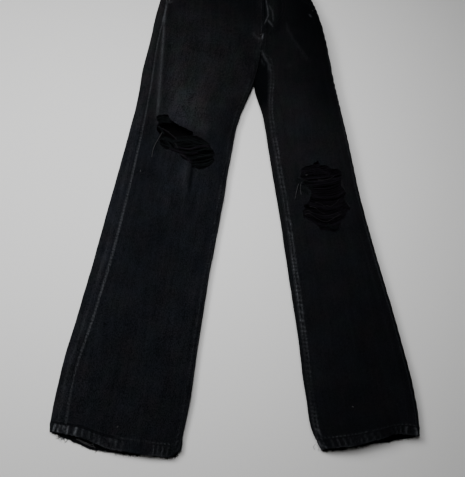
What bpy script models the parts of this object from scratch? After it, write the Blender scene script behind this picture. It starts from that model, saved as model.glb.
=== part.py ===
"""Black ripped jeans with a flared straight leg, laid flat with the front up.

Metres. +Z is up and the cloth rests on z = 0. +Y runs to the waist and +X to the wearer's left. The origin is
the middle of the box's underside.

Each half of the jeans, a leg with its half of the hips, is one sleeve. A row of SECTIONS cuts the sleeve
across: it goes from the inner end, over the front, round the outer edge and back underneath. Every piece of
cloth is a grid mapped on to that sleeve, so neighbours share their seams and what lies on a panel follows it.
"""

import bmesh
import bpy
import numpy as np
from mathutils import Vector

# Cloth
WALL = 0.0013
GAP = 0.0003
HEM_WALL = 0.0028
BAND_WALL = 0.0026
LOOP_WALL = 0.0020
LAYER = WALL + GAP

# Heights along the sleeve, measured up from the hem
HEM_TOP = 0.022
FORK = 0.762
CROTCH = 0.827
POCKET_CORNER = 0.925
WAIST_SEAM = 1.040
WAIST_TOP = 1.078

# Cross-section: how square the front's arch is, and how much of the underside each rounded corner takes
SQUARENESS = 2.4
CORNER = 0.16
CURL = 1.0

# The seat lies on the back pockets, and the waistband on the belt loops: how far, and between which heights
SEAT_LIFT = LAYER
SEAT_LIFT_FROM = 0.66
SEAT_LIFT_TO = 0.78
BAND_LIFT = LOOP_WALL + GAP
BAND_LIFT_FROM = 0.975
BAND_LIFT_TO = 1.035

SIDES = ("right", "left")
OUTWARD = {"right": -1.0, "left": 1.0}

# One row for each section. x_in, y_in, z_in: the inner fold of the leg, then the seat seam in the fork, then
# the centre front. x_out, y_out, z_out: the outer edge where it is widest. inseam and outseam: how far each
# seam lies up on the front from those ends. crown: the height of the arch, at crown_at of the way across.
COLUMNS = "level x_in y_in z_in inseam x_out y_out z_out crown crown_at outseam".split()
SECTIONS = {
    "right": (
        (0.000, -0.097, -0.548, 0.008, 0.005, -0.334, -0.508, 0.008, 0.019, 0.52, 0.030),
        (0.032, -0.092, -0.516, 0.008, 0.005, -0.332, -0.478, 0.008, 0.019, 0.52, 0.031),
        (0.095, -0.083, -0.452, 0.009, 0.005, -0.323, -0.407, 0.009, 0.021, 0.50, 0.028),
        (0.205, -0.068, -0.342, 0.009, 0.005, -0.300, -0.294, 0.010, 0.022, 0.48, 0.028),
        (0.322, -0.052, -0.225, 0.010, 0.005, -0.275, -0.176, 0.010, 0.022, 0.50, 0.031),
        (0.448, -0.031, -0.100, 0.010, 0.005, -0.251, -0.053, 0.011, 0.024, 0.52, 0.031),
        (0.570, -0.013, 0.021, 0.010, 0.005, -0.227, 0.069, 0.011, 0.027, 0.50, 0.030),
        (0.688, 0.013, 0.139, 0.010, 0.005, -0.207, 0.184, 0.012, 0.030, 0.45, 0.027),
        (0.762, 0.0448, 0.215, 0.010, 0.007, -0.200, 0.244, 0.013, 0.033, 0.35, 0.026),
        (0.797, 0.053, 0.248, 0.016, 0.005, -0.194, 0.278, 0.014, 0.038, 0.28, 0.023),
        (0.827, 0.059, 0.277, 0.042, 0.001, -0.188, 0.312, 0.015, 0.046, 0.22, 0.022),
        (0.915, 0.063, 0.366, 0.050, 0.000, -0.174, 0.399, 0.016, 0.052, 0.20, 0.024),
        (0.953, 0.064, 0.404, 0.050, 0.000, -0.166, 0.433, 0.017, 0.051, 0.20, 0.018),
        (1.040, 0.064, 0.489, 0.043, 0.000, -0.150, 0.510, 0.016, 0.044, 0.20, 0.010),
        (1.078, 0.064, 0.527, 0.040, 0.000, -0.145, 0.549, 0.015, 0.041, 0.20, 0.010),
    ),
    "left": (
        (0.000, 0.157, -0.538, 0.010, 0.003, 0.335, -0.515, 0.012, 0.030, 0.50, 0.008),
        (0.035, 0.142, -0.507, 0.011, 0.008, 0.336, -0.484, 0.013, 0.031, 0.50, 0.008),
        (0.095, 0.133, -0.452, 0.012, 0.011, 0.330, -0.426, 0.015, 0.034, 0.48, 0.008),
        (0.205, 0.122, -0.343, 0.012, 0.013, 0.309, -0.311, 0.016, 0.036, 0.46, 0.008),
        (0.322, 0.108, -0.226, 0.012, 0.016, 0.284, -0.193, 0.018, 0.039, 0.46, 0.008),
        (0.448, 0.093, -0.101, 0.012, 0.017, 0.259, -0.072, 0.020, 0.043, 0.44, 0.008),
        (0.570, 0.077, 0.021, 0.012, 0.017, 0.242, 0.048, 0.022, 0.047, 0.42, 0.007),
        (0.688, 0.061, 0.138, 0.012, 0.021, 0.224, 0.160, 0.024, 0.051, 0.40, 0.005),
        (0.762, 0.0452, 0.215, 0.010, 0.036, 0.214, 0.222, 0.026, 0.053, 0.38, 0.004),
        (0.797, 0.053, 0.248, 0.016, 0.024, 0.209, 0.262, 0.027, 0.054, 0.32, 0.004),
        (0.827, 0.059, 0.277, 0.042, 0.001, 0.204, 0.300, 0.028, 0.056, 0.30, 0.003),
        (0.915, 0.063, 0.366, 0.050, 0.000, 0.186, 0.385, 0.030, 0.061, 0.30, 0.003),
        (0.953, 0.064, 0.404, 0.050, 0.000, 0.175, 0.420, 0.029, 0.060, 0.30, 0.003),
        (1.040, 0.064, 0.489, 0.043, 0.000, 0.158, 0.493, 0.022, 0.047, 0.30, 0.003),
        (1.078, 0.064, 0.527, 0.040, 0.000, 0.153, 0.531, 0.019, 0.042, 0.30, 0.003),
    ),
}

# The seat seam underneath, from the fork to the top of the waistband at the centre back
SEAT_COLUMNS = "level x y".split()
SEAT_SEAM = (
    (0.762, 0.045, 0.215),
    (0.797, 0.030, 0.264),
    (0.827, 0.019, 0.300),
    (0.915, 0.007, 0.398),
    (0.953, 0.005, 0.436),
    (1.040, 0.003, 0.512),
    (1.078, 0.003, 0.549),
)

# The largest creases of the front: a ridge, or a trough where the height is negative, from start to end
FOLD_COLUMNS = "x_start y_start x_end y_end half_width height".split()
FOLDS = (
    (-0.150, 0.460, -0.162, 0.125, 0.009, 0.0040),
    (-0.088, 0.020, -0.104, -0.130, 0.014, 0.0030),
    (-0.060, 0.130, -0.150, 0.190, 0.020, 0.0022),
    (-0.190, -0.230, -0.230, -0.420, 0.022, 0.0018),
    (-0.110, -0.150, -0.130, -0.400, 0.020, -0.0018),
    (0.040, 0.300, -0.070, 0.345, 0.013, -0.0032),
    (0.036, 0.332, -0.080, 0.392, 0.012, 0.0024),
    (0.078, 0.300, 0.170, 0.345, 0.013, -0.0034),
    (0.100, 0.335, 0.158, 0.232, 0.013, 0.0050),
    (0.070, 0.342, 0.088, 0.300, 0.008, 0.0028),
    (0.120, 0.030, 0.215, 0.055, 0.016, 0.0030),
    (0.125, -0.150, 0.235, -0.165, 0.018, -0.0026),
    (0.190, -0.180, 0.225, -0.400, 0.022, 0.0030),
)

# The share of the front beside each edge where the creases fade out
CREASE_MARGIN = 0.12

# The hem across a leg, from the inseam: how far the edges of front and back hang below a straight line
HEM_COLUMNS = "across front back".split()
HEM_EDGES = {
    "right": (
        (0.00, 0.000, 0.000),
        (0.20, 0.006, 0.010),
        (0.38, 0.009, 0.016),
        (0.52, 0.013, 0.018),
        (0.68, 0.006, 0.016),
        (0.82, 0.000, 0.008),
        (0.92, 0.000, 0.001),
        (1.00, 0.000, 0.000),
    ),
    "left": (
        (0.00, 0.000, 0.000),
        (0.18, -0.002, 0.004),
        (0.35, -0.003, 0.006),
        (0.55, -0.006, 0.005),
        (0.71, -0.011, 0.005),
        (0.84, -0.007, 0.002),
        (1.00, 0.000, 0.000),
    ),
}
HEM_FADE = 0.10

# The torn edges, as corners seen from above
RIPS = {
    "right": (
        (-0.163, 0.125), (-0.137, 0.132), (-0.133, 0.115), (-0.086, 0.089), (-0.050, 0.066), (-0.039, 0.043),
        (-0.049, 0.016), (-0.086, 0.007), (-0.088, 0.018), (-0.122, 0.043), (-0.152, 0.062), (-0.161, 0.094),
    ),
    "left": (
        (0.133, -0.010), (0.161, 0.001), (0.170, 0.014), (0.195, -0.003), (0.217, -0.010), (0.218, -0.039),
        (0.222, -0.070), (0.229, -0.091), (0.222, -0.113), (0.204, -0.134), (0.156, -0.123), (0.137, -0.107),
        (0.138, -0.086), (0.153, -0.075), (0.151, -0.054), (0.136, -0.041), (0.118, -0.023),
    ),
}
RIP_FLOOR = 0.006
RIP_CEILING = 0.090

# Yoke, pockets, fly, button and belt loops
YOKE_AT_SIDE = 1.006
YOKE_AT_CENTRE = 0.982
SCOOP_WIDTH = {"right": 0.096, "left": 0.051}
SCOOP_UNDERLAP = 0.012
SCOOP_BEND = 1.8
FACING_DEPTH = LAYER + GAP
FLY_BOTTOM = 0.912
FLY_UNDER_RIGHT = 0.012
FLY_WIDTH = 0.034
ZIP_EDGE = 0.002
ZIP_WIDTH = 0.026
SLIDER = {"width": 0.009, "length": 0.012, "thickness": 0.0022, "from_top": 0.010}
POCKET = {"from_centre": 0.017, "width": 0.116, "top": 0.962, "height": 0.135, "point": 0.020, "taper": 0.12}
BAND_OVERLAP = 0.034
BUTTON = {"radius": 0.0085, "thickness": 0.0032, "from_end": 0.017}
LOOP_WIDTH = 0.011
LOOP_LOW = WAIST_SEAM + 0.002
LOOP_HIGH = WAIST_TOP - 0.002
LOOPS_AT = {"right": {"front": 0.095, "back": 0.100}, "left": {"front": 0.062, "back": 0.105}}
BAND_MIDDLE = np.array([(WAIST_SEAM + WAIST_TOP) / 2])

# Mesh density
FRONT_COLUMNS = 12
UNDER_COLUMNS = 14
TOP_COLUMNS = 3
STRIP_COLUMNS = 3
YOKE_ROWS = 3
FACING_ROWS = 6
FLY_ROWS = 6
LEVELS = np.concatenate((
    [0.0, HEM_TOP / 2],
    np.linspace(HEM_TOP, FORK, 16),
    np.linspace(FORK, CROTCH, 5)[1:],
    np.linspace(CROTCH, WAIST_SEAM, 8)[1:],
))
FORK_ROW = int(np.argmin(abs(LEVELS - FORK)))
CROTCH_ROW = int(np.argmin(abs(LEVELS - CROTCH)))
TINY = 1e-6

# Steps for the slopes of the sleeve, along the leg in metres and around it as a share of the ring
STEP_ALONG = 0.002
STEP_AROUND = 0.004


def columns_of(rows, names):
    """The table's columns by name."""
    return dict(zip(names, np.array(rows, dtype=float).T))


CREASES = columns_of(FOLDS, FOLD_COLUMNS)
TABLES = {side: columns_of(rows, COLUMNS) for side, rows in SECTIONS.items()}
HEMS = {side: columns_of(rows, HEM_COLUMNS) for side, rows in HEM_EDGES.items()}
SEAT = columns_of(SEAT_SEAM, SEAT_COLUMNS)


def smooth(levels, values, at):
    """Reads a column with a cubic through its rows, and on in a straight line past the first and last."""
    slopes = np.gradient(values, levels)
    past = at - np.clip(at, levels[0], levels[-1])
    at = at - past
    row = np.clip(np.searchsorted(levels, at) - 1, 0, len(levels) - 2)
    span = levels[row + 1] - levels[row]
    t = (at - levels[row]) / span
    start = (2 * t**3 - 3 * t**2 + 1) * values[row] + (t**3 - 2 * t**2 + t) * span * slopes[row]
    end = (3 * t**2 - 2 * t**3) * values[row + 1] + (t**3 - t**2) * span * slopes[row + 1]
    return start + end + past * np.where(past < 0, slopes[0], slopes[-1])


def section(side, level):
    """All columns of a side's table at these levels."""
    table = TABLES[side]
    return {name: smooth(table["level"], table[name], level) for name in COLUMNS[1:]}


def smoothstep(low, high, value):
    t = np.clip((value - low) / (high - low), 0, 1)
    return t * t * (3 - 2 * t)


def floor_of(level):
    """The height of the underside: on the floor, except where pockets and loops lie beneath it."""
    seat = SEAT_LIFT * smoothstep(SEAT_LIFT_FROM, SEAT_LIFT_TO, level)
    return seat + (BAND_LIFT - SEAT_LIFT) * smoothstep(BAND_LIFT_FROM, BAND_LIFT_TO, level)


def fold_height(x, y):
    """The sum of the large creases at each point of the front. A crease fades in and out past its two ends."""
    along_x = CREASES["x_end"] - CREASES["x_start"]
    along_y = CREASES["y_end"] - CREASES["y_start"]
    length = np.hypot(along_x, along_y)
    from_x = x[..., None] - CREASES["x_start"]
    from_y = y[..., None] - CREASES["y_start"]
    along = (from_x * along_x + from_y * along_y) / length**2
    off = (from_x * along_y - from_y * along_x) / length
    taper = smoothstep(-0.15, 0.35, along) * smoothstep(-0.15, 0.35, 1 - along)
    return (CREASES["height"] * taper * np.exp(-((off / CREASES["half_width"]) ** 2))).sum(-1)


def across_front(s, g):
    """How far across a section of the sleeve g lies, from 0 at the inner end to 1 at the outer edge."""
    reach = np.abs(np.cos(np.pi * g)) ** (2 / SQUARENESS)
    return s["crown_at"] + np.where(g < 0.5, -s["crown_at"], 1 - s["crown_at"]) * reach


def front_point(side, level, g):
    """A point of the sleeve's upper face: g is 0 at the inner end and 1 at the outer edge."""
    s = section(side, level)
    reach = np.abs(np.cos(np.pi * g)) ** (2 / SQUARENESS)
    rise = np.sin(np.pi * np.clip(g, 0, 1)) ** (2 / SQUARENESS)
    inner = g < 0.5
    # The leg's inner fold is round, and the centre front of the hips is nearly flat.
    opened = smoothstep(FORK, CROTCH, level)
    rise = np.where(inner, (1 - opened) * rise + opened * (1 - reach**2), rise)
    across = across_front(s, g)
    end_height = np.where(inner, s["z_in"], s["z_out"])
    x = s["x_in"] + across * (s["x_out"] - s["x_in"])
    y = s["y_in"] + across * (s["y_out"] - s["y_in"])
    fade = smoothstep(0, CREASE_MARGIN, g) * smoothstep(0, CREASE_MARGIN, 1 - g)
    z = end_height + (s["crown"] - end_height) * rise + fade * fold_height(x, y)
    return np.stack((x, y, z), -1)


def under_point(side, level, t):
    """A point of the underside: t is 0 at the outer edge and 1 at the inner end."""
    s = section(side, level)
    closed = level <= FORK + TINY
    end_x = np.where(closed, s["x_in"], smooth(SEAT["level"], SEAT["x"], level))
    end_y = np.where(closed, s["y_in"], smooth(SEAT["level"], SEAT["y"], level))
    length = np.hypot(end_x - s["x_out"], end_y - s["y_out"])
    floor = floor_of(level)
    curl_out = CURL * s["z_out"]
    curl_in = np.where(closed, CURL * s["z_in"], 0)
    flat_end = np.where(closed, 1 - CORNER, 1)
    out_angle = np.pi / 2 * np.clip(t / CORNER, 0, 1)
    in_angle = np.pi / 2 * np.clip((1 - t) / CORNER, 0, 1)
    middle = np.clip((t - CORNER) / (flat_end - CORNER), 0, 1)
    distance = curl_out + middle * (length - curl_out - curl_in)
    distance = np.where(t < CORNER, curl_out * (1 - np.cos(out_angle)), distance)
    distance = np.where(t > flat_end, length - curl_in * (1 - np.cos(in_angle)), distance)
    z = np.where(t < CORNER, floor + (s["z_out"] - floor) * (1 - np.sin(out_angle)), floor)
    z = np.where(t > flat_end, floor + (s["z_in"] - floor) * (1 - np.sin(in_angle)), z)
    x = s["x_out"] + (end_x - s["x_out"]) * distance / length
    y = s["y_out"] + (end_y - s["y_out"]) * distance / length
    return np.stack((x, y, z), -1)


def ring(side, level, g):
    """A point on the sleeve: g runs from 0 to 1 over the front and from 1 to 2 back underneath."""
    closed = level <= FORK + TINY
    g = np.where(closed, g % 2, np.clip(g, 0, 2))
    front = front_point(side, level, np.clip(g, 0, 1))
    under = under_point(side, level, np.clip(g - 1, 0, 1))
    return np.where((g <= 1)[..., None], front, under)


def place(side, level, g, depth):
    """A point of the sleeve moved in along its normal by a depth, or out where the depth is negative."""
    level, g, depth = np.broadcast_arrays(*(np.asarray(v, dtype=float) for v in (level, g, depth)))
    # Steps stay on one side of the fork's end, because the section opens there.
    low = level - STEP_ALONG
    high = level + STEP_ALONG
    high = np.where((level <= FORK + TINY) & (high > FORK), FORK, high)
    low = np.where((level > FORK + TINY) & (low <= FORK + TINY), FORK + 2 * TINY, low)
    around = ring(side, level, g + STEP_AROUND) - ring(side, level, g - STEP_AROUND)
    along = ring(side, high, g) - ring(side, low, g)
    normal = OUTWARD[side] * np.cross(around, along)
    normal /= np.linalg.norm(normal, axis=-1, keepdims=True)
    return ring(side, level, g) - depth[..., None] * normal


def g_at(side, level, distance):
    """Where on the front a point lies, from its distance across from the inner end."""
    s = section(side, level)
    width = np.hypot(s["x_out"] - s["x_in"], s["y_out"] - s["y_in"])
    across = np.clip(distance / width, 0, 1)
    inner = np.clip(1 - across / s["crown_at"], 0, 1)
    outer = np.clip((across - s["crown_at"]) / (1 - s["crown_at"]), 0, 1)
    power = SQUARENESS / 2
    from_inner = np.arccos(inner**power) / np.pi
    from_outer = 1 - np.arccos(outer**power) / np.pi
    return np.where(across < s["crown_at"], from_inner, from_outer)


def g_inseam(side, level, shift=0.0):
    """The inseam, which becomes the centre front above the crotch."""
    seam = np.where(level <= CROTCH + TINY, section(side, level)["inseam"], 0)
    return g_at(side, level, seam + shift)


def g_outseam(side, level, shift=0.0):
    s = section(side, level)
    width = np.hypot(s["x_out"] - s["x_in"], s["y_out"] - s["y_in"])
    return g_at(side, level, width - s["outseam"] + shift)


def g_under(side, level, from_end):
    """Where on the open underside a point lies, from its distance to the seat seam."""
    s = section(side, level)
    x, y = (smooth(SEAT["level"], SEAT[name], level) for name in "xy")
    length = np.hypot(x - s["x_out"], y - s["y_out"]) - CURL * s["z_out"]
    return 2 - (1 - CORNER) * from_end / length


def denim(name, colour, roughness, metallic=0.0):
    made = bpy.data.materials.new(name)
    made.use_nodes = True
    shader = made.node_tree.nodes["Principled BSDF"]
    shader.inputs["Base Color"].default_value = (*colour, 1)
    shader.inputs["Roughness"].default_value = roughness
    shader.inputs["Metallic"].default_value = metallic
    return made


def add_object(name, mesh, material):
    """Turns a finished bmesh into an object with its faces pointing out."""
    bmesh.ops.recalc_face_normals(mesh, faces=mesh.faces)
    if mesh.calc_volume(signed=True) < 0:
        bmesh.ops.reverse_faces(mesh, faces=mesh.faces)
    data = bpy.data.meshes.new(name)
    mesh.to_mesh(data)
    mesh.free()
    data.materials.append(material)
    data.shade_smooth()
    data.set_sharp_from_angle(angle=np.radians(50))
    obj = bpy.data.objects.new(name, data)
    bpy.context.scene.collection.objects.link(obj)
    return obj


def grid(columns, rows):
    """A flat grid whose corners lie at whole numbers, from 0, 0 to columns, rows."""
    mesh = bmesh.new()
    bmesh.ops.create_grid(mesh, x_segments=columns, y_segments=rows, size=0.5)
    for vert in mesh.verts:
        vert.co = Vector((round((vert.co.x + 0.5) * columns), round((vert.co.y + 0.5) * rows), 0))
    return mesh


def wall(mesh, mapping):
    """Gives a flat grid a second skin, joined round its rim, and maps both: layer 0 is inside and 1 outside."""
    skin = bmesh.ops.extrude_face_region(mesh, geom=mesh.faces[:], use_keep_orig=True)
    for vert in skin["geom"]:
        if isinstance(vert, bmesh.types.BMVert):
            vert.co.z = 1
    places = np.array([vert.co for vert in mesh.verts])
    points = mapping(places[:, 0], places[:, 1], places[:, 2])
    for vert, point in zip(mesh.verts, points):
        vert.co = Vector(point)


def patch(name, columns, rows, mapping, material):
    """A rectangular piece of cloth: mapping takes u and v from 0 to 1, and the layer."""
    mesh = grid(columns, rows)
    wall(mesh, lambda i, j, layer: mapping(i / columns, j / rows, layer))
    return add_object(name, mesh, material)


def panel_wall(level):
    """One layer of denim, and three where the hem is turned up."""
    return np.where(level < HEM_TOP - TINY, HEM_WALL, WALL)


def front_g(side, level, u):
    """Spreads the front's columns from the inseam, or the centre front, to the outseam."""
    first = g_inseam(side, level, GAP / 2)
    last = g_outseam(side, level, -GAP / 2)
    return first + u * (last - first)


def scoop_drop(side, u):
    """How far the front's top edge drops in the pocket opening, which is deepest at the outseam."""
    top = np.full_like(u, WAIST_SEAM)
    s = section(side, top)
    width = np.hypot(s["x_out"] - s["x_in"], s["y_out"] - s["y_in"])
    from_seam = width * (1 - across_front(s, front_g(side, top, u))) - s["outseam"]
    share = np.clip(from_seam / SCOOP_WIDTH[side], 0, 1)
    return (WAIST_SEAM - POCKET_CORNER) * (1 - share**SCOOP_BEND)


def stretch(level, bottom, top):
    """Moves the levels above the crotch so that the last one lies at top."""
    share = np.clip((level - bottom) / (WAIST_SEAM - bottom), 0, 1)
    return np.where(level > bottom, bottom + share * (top - bottom), level)


def hang(side, layer, across, level):
    """Lowers the rows near the hem, so that the edge follows its table. across is 0 at the inseam."""
    drop = smooth(HEMS[side]["across"], HEMS[side][layer], np.clip(across, 0, 1))
    return level - drop * np.clip(1 - level / HEM_FADE, 0, 1)


def make_front(side, material):
    def mapping(i, j, layer):
        u = i / FRONT_COLUMNS
        level = LEVELS[j.astype(int)]
        wall_here = panel_wall(level)
        level = hang(side, "front", u, level)
        level = stretch(level, CROTCH, WAIST_SEAM - GAP - scoop_drop(side, u))
        return place(side, level, front_g(side, level, u), (1 - layer) * wall_here)

    mesh = grid(FRONT_COLUMNS, len(LEVELS) - 1)
    wall(mesh, mapping)
    return add_object(f"front_{side}", mesh, material)


def tear(side, panel):
    """Cuts the rip through the front with a prism of its outline."""
    mesh = bmesh.new()
    corners = [mesh.verts.new((x, y, RIP_FLOOR)) for x, y in RIPS[side]]
    face = mesh.faces.new(corners)
    top = bmesh.ops.extrude_face_region(mesh, geom=[face], use_keep_orig=True)
    lifted = [vert for vert in top["geom"] if isinstance(vert, bmesh.types.BMVert)]
    bmesh.ops.translate(mesh, verts=lifted, vec=(0, 0, RIP_CEILING - RIP_FLOOR))
    cutter = add_object(f"rip_cutter_{side}", mesh, panel.data.materials[0])
    cutter.hide_render = True
    cutter.display_type = "WIRE"
    cut = panel.modifiers.new("rip", "BOOLEAN")
    cut.operation = "DIFFERENCE"
    cut.solver = "EXACT"
    cut.object = cutter


def yoke_level(u):
    """The yoke seam across the back, from the outseam to the centre."""
    return YOKE_AT_SIDE + (YOKE_AT_CENTRE - YOKE_AT_SIDE) * np.clip(u, 0, 1)


def back_g(side, level, u, end_gap):
    """Spreads the back's columns from the outseam, round the outer edge, to the inner end underneath."""
    on_top = TOP_COLUMNS / UNDER_COLUMNS
    first = g_outseam(side, level, GAP / 2)
    last = 2 - end_gap
    under = 1 + (u - on_top) / (1 - on_top) * (last - 1)
    return np.where(u < on_top, first + u / on_top * (1 - first), under)


def make_back(side, material):
    """The back from outseam to inseam. The strip past the inner fold narrows to a point at the crotch."""
    last_row = len(LEVELS) - 1
    mesh = grid(UNDER_COLUMNS + STRIP_COLUMNS, last_row)
    above_crotch = [
        face for face in mesh.faces
        if face.calc_center_median().x > UNDER_COLUMNS and face.calc_center_median().y > CROTCH_ROW
    ]
    bmesh.ops.delete(mesh, geom=above_crotch, context="FACES")
    slit = [
        edge for edge in mesh.edges
        if all(vert.co.x == UNDER_COLUMNS for vert in edge.verts)
        and FORK_ROW <= min(vert.co.y for vert in edge.verts) < CROTCH_ROW
    ]
    bmesh.ops.split_edges(mesh, edges=slit)
    # The strip's side of the slit is marked, so that the mapping below can tell the two sides apart.
    slit_mark = 0.25
    for face in mesh.faces:
        if face.calc_center_median().x > UNDER_COLUMNS:
            for vert in face.verts:
                if vert.co.x == UNDER_COLUMNS and vert.co.y > FORK_ROW:
                    vert.co.x += slit_mark

    def mapping(i, j, layer):
        level = LEVELS[j.astype(int)]
        depth = (1 - layer) * panel_wall(level)
        u = np.clip(i / UNDER_COLUMNS, 0, 1)
        level = hang(side, "back", 1 - u, level)
        under_level = stretch(level, CROTCH, yoke_level(u) - GAP)
        end_gap = np.where(level > FORK + TINY, g_gap(side, under_level), 0)
        under = place(side, under_level, back_g(side, under_level, u, end_gap), depth)
        along_strip = np.clip((np.floor(i + TINY) - UNDER_COLUMNS) / STRIP_COLUMNS, 0, 1)
        start = np.where(level > FORK + TINY, g_at(side, level, GAP / 2), 0)
        end = g_inseam(side, level, -GAP / 2)
        strip = place(side, np.minimum(level, CROTCH), start + along_strip * (end - start), depth)
        return np.where((i > UNDER_COLUMNS)[:, None], strip, under)

    wall(mesh, mapping)
    return add_object(f"back_{side}", mesh, material)


def g_gap(side, level):
    """Half a seam gap beside the seat seam, as a share of the ring."""
    return 2 - g_under(side, level, GAP / 2)


def make_yoke(side, material):
    def mapping(u, v, layer):
        low = yoke_level(u) + GAP
        level = low + v * (WAIST_SEAM - GAP - low)
        g = back_g(side, level, u, g_gap(side, level))
        return place(side, level, g, (1 - layer) * WALL)

    return patch(f"yoke_{side}", UNDER_COLUMNS, YOKE_ROWS, mapping, material)


def make_facing(side, material):
    """The hip piece that shows in the scooped opening, one layer behind the front."""
    column_shares = np.linspace(0, 1, FRONT_COLUMNS + 1)
    first_column = int(np.argmax(scoop_drop(side, column_shares) > 0)) - 1
    columns = FRONT_COLUMNS - first_column

    def mapping(u, v, layer):
        across = (first_column + u * columns) / FRONT_COLUMNS
        drop = scoop_drop(side, across)
        low = np.maximum(WAIST_SEAM - drop - 2 * SCOOP_UNDERLAP, POCKET_CORNER - SCOOP_UNDERLAP)
        level = low + v * (WAIST_SEAM - GAP - low)
        return place(side, level, front_g(side, level, across), FACING_DEPTH + (1 - layer) * WALL)

    return patch(f"pocket_facing_{side}", columns, FACING_ROWS, mapping, material)


def make_back_pocket(side, material):
    """A plain patch pocket with a pointed end, sewn on the seat."""

    def mapping(u, v, layer):
        point = POCKET["point"] * (1 - abs(2 * u - 1)) * (1 - v)
        level = POCKET["top"] - POCKET["height"] * (1 - v) - point
        taper = 1 - POCKET["taper"] * (1 - v)
        middle = POCKET["from_centre"] + POCKET["width"] / 2
        from_end = middle + (u - 0.5) * POCKET["width"] * taper
        return place(side, level, g_under(side, level, from_end), -GAP - layer * WALL)

    return patch(f"back_pocket_{side}", 4, 5, mapping, material)


def centre_place(distance, level, depth):
    """A point near the centre front, given by its distance from the seam, positive to the left."""
    size = np.abs(distance)
    left = place("left", level, g_at("left", level, size), depth)
    right = place("right", level, g_at("right", level, size), depth)
    return np.where((distance >= 0)[:, None], left, right)


def make_fly(material, metal):
    """The zip lies behind the left front, and the shield lies behind the zip."""
    slider_depth = LAYER + GAP + SLIDER["thickness"]
    tape_depth = slider_depth + GAP
    shield_depth = tape_depth + LAYER
    top = WAIST_SEAM - GAP
    tape_stops = ZIP_EDGE + ZIP_WIDTH * np.linspace(0, 1, 5)
    shield_stops = np.concatenate(([-FLY_UNDER_RIGHT, -FLY_UNDER_RIGHT / 2, 0], tape_stops, [FLY_WIDTH]))
    middle = ZIP_EDGE + ZIP_WIDTH / 2
    slider_stops = middle + SLIDER["width"] * np.array([-0.5, 0, 0.5])

    def layer_of(name, stops, rows, low, high, depth, thickness, finish):
        def mapping(i, j, layer):
            level = low + j / rows * (high - low)
            return centre_place(stops[i.astype(int)], level, depth + (1 - layer) * thickness)

        mesh = grid(len(stops) - 1, rows)
        wall(mesh, mapping)
        add_object(name, mesh, finish)

    layer_of("zip_tape", tape_stops, FLY_ROWS, FLY_BOTTOM, top, tape_depth, WALL, material)
    layer_of("fly_shield", shield_stops, FLY_ROWS, FLY_BOTTOM, top, shield_depth, WALL, material)
    slider_top = top - SLIDER["from_top"]
    layer_of("zip_slider", slider_stops, 2, slider_top - SLIDER["length"], slider_top,
             slider_depth - SLIDER["thickness"], SLIDER["thickness"], metal)


def loop_edges(side, where):
    """Where the two edges of a belt loop cross the waistband: the table gives its distance from the centre."""
    edges = LOOPS_AT[side][where] + np.array([-LOOP_WIDTH / 2, LOOP_WIDTH / 2])
    return g_at(side, BAND_MIDDLE, edges) if where == "front" else g_under(side, BAND_MIDDLE, edges)


def band_stops(side, first):
    """The waistband's columns on one side, among them the edges of the front loop that lies on it."""
    edges = loop_edges(side, "front")
    even = np.concatenate((np.linspace(first, 1, 10), np.linspace(1, 2, 11)[1:]))
    clear = (even < edges[0] - 0.03) | (even > edges[1] + 0.03)
    return np.sort(np.concatenate((even[clear], edges)))


def make_waistband(material):
    """One strip from the right end at the centre front, round the back, to the left end buttoned over it."""
    bottom = WAIST_SEAM + GAP
    under_steps = np.linspace(0, BAND_OVERLAP, 4)
    under_g = g_at("right", BAND_MIDDLE, under_steps)
    right_stops = np.concatenate((under_g[:-1], band_stops("right", under_g[-1])))
    left_stops = band_stops("left", g_at("left", BAND_MIDDLE, under_steps[1])[0])[::-1]
    stops = [("right", g, 0.0) for g in right_stops]
    stops += [("left", g, 0.0) for g in left_stops[1:]]
    stops += [("left", 0.0, 1.0)]
    stops += [("right", g, 1.0) for g in under_g[1:]]
    sides = np.array([side for side, _, _ in stops])
    g_stops = np.array([g for _, g, _ in stops])
    lifts = np.array([lift for _, _, lift in stops]) * (BAND_WALL + GAP)
    g_stops[0] = g_at("right", BAND_MIDDLE, GAP)[0]

    def mapping(i, j, layer):
        index = i.astype(int)
        level = bottom + j / 2 * (WAIST_TOP - bottom)
        depth = (1 - layer) * BAND_WALL - lifts[index]
        right = place("right", level, g_stops[index], depth)
        left = place("left", level, g_stops[index], depth)
        return np.where((sides[index] == "right")[:, None], right, left)

    mesh = grid(len(stops) - 1, 2)
    wall(mesh, mapping)
    return add_object("waistband", mesh, material)


def make_button(metal):
    """A domed metal button on the waistband's left end, turned from its half profile."""
    stack = BAND_WALL + 2 * GAP
    g = g_at("right", BAND_MIDDLE, BAND_OVERLAP - BUTTON["from_end"])
    foot = place("right", BAND_MIDDLE, g, -stack)[0]
    top = place("right", BAND_MIDDLE, g, -stack - BUTTON["thickness"])[0]
    axis = Vector(top - foot).normalized()
    radius, height = BUTTON["radius"], BUTTON["thickness"]
    profile = ((0, 0), (radius * 0.9, 0), (radius, height * 0.35), (radius * 0.9, height * 0.75),
               (radius * 0.55, height * 0.8), (radius * 0.35, height), (0, height))
    mesh = bmesh.new()
    verts = [mesh.verts.new((r, 0, z)) for r, z in profile]
    edges = [mesh.edges.new(pair) for pair in zip(verts, verts[1:])]
    bmesh.ops.spin(mesh, geom=verts + edges, cent=(0, 0, 0), axis=(0, 0, 1), steps=20,
                   angle=2 * np.pi, use_merge=True)
    bmesh.ops.remove_doubles(mesh, verts=mesh.verts, dist=TINY)
    turn = Vector((0, 0, 1)).rotation_difference(axis).to_matrix()
    bmesh.ops.rotate(mesh, verts=mesh.verts, cent=(0, 0, 0), matrix=turn)
    bmesh.ops.translate(mesh, verts=mesh.verts, vec=foot)
    return add_object("button", mesh, metal)


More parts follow.
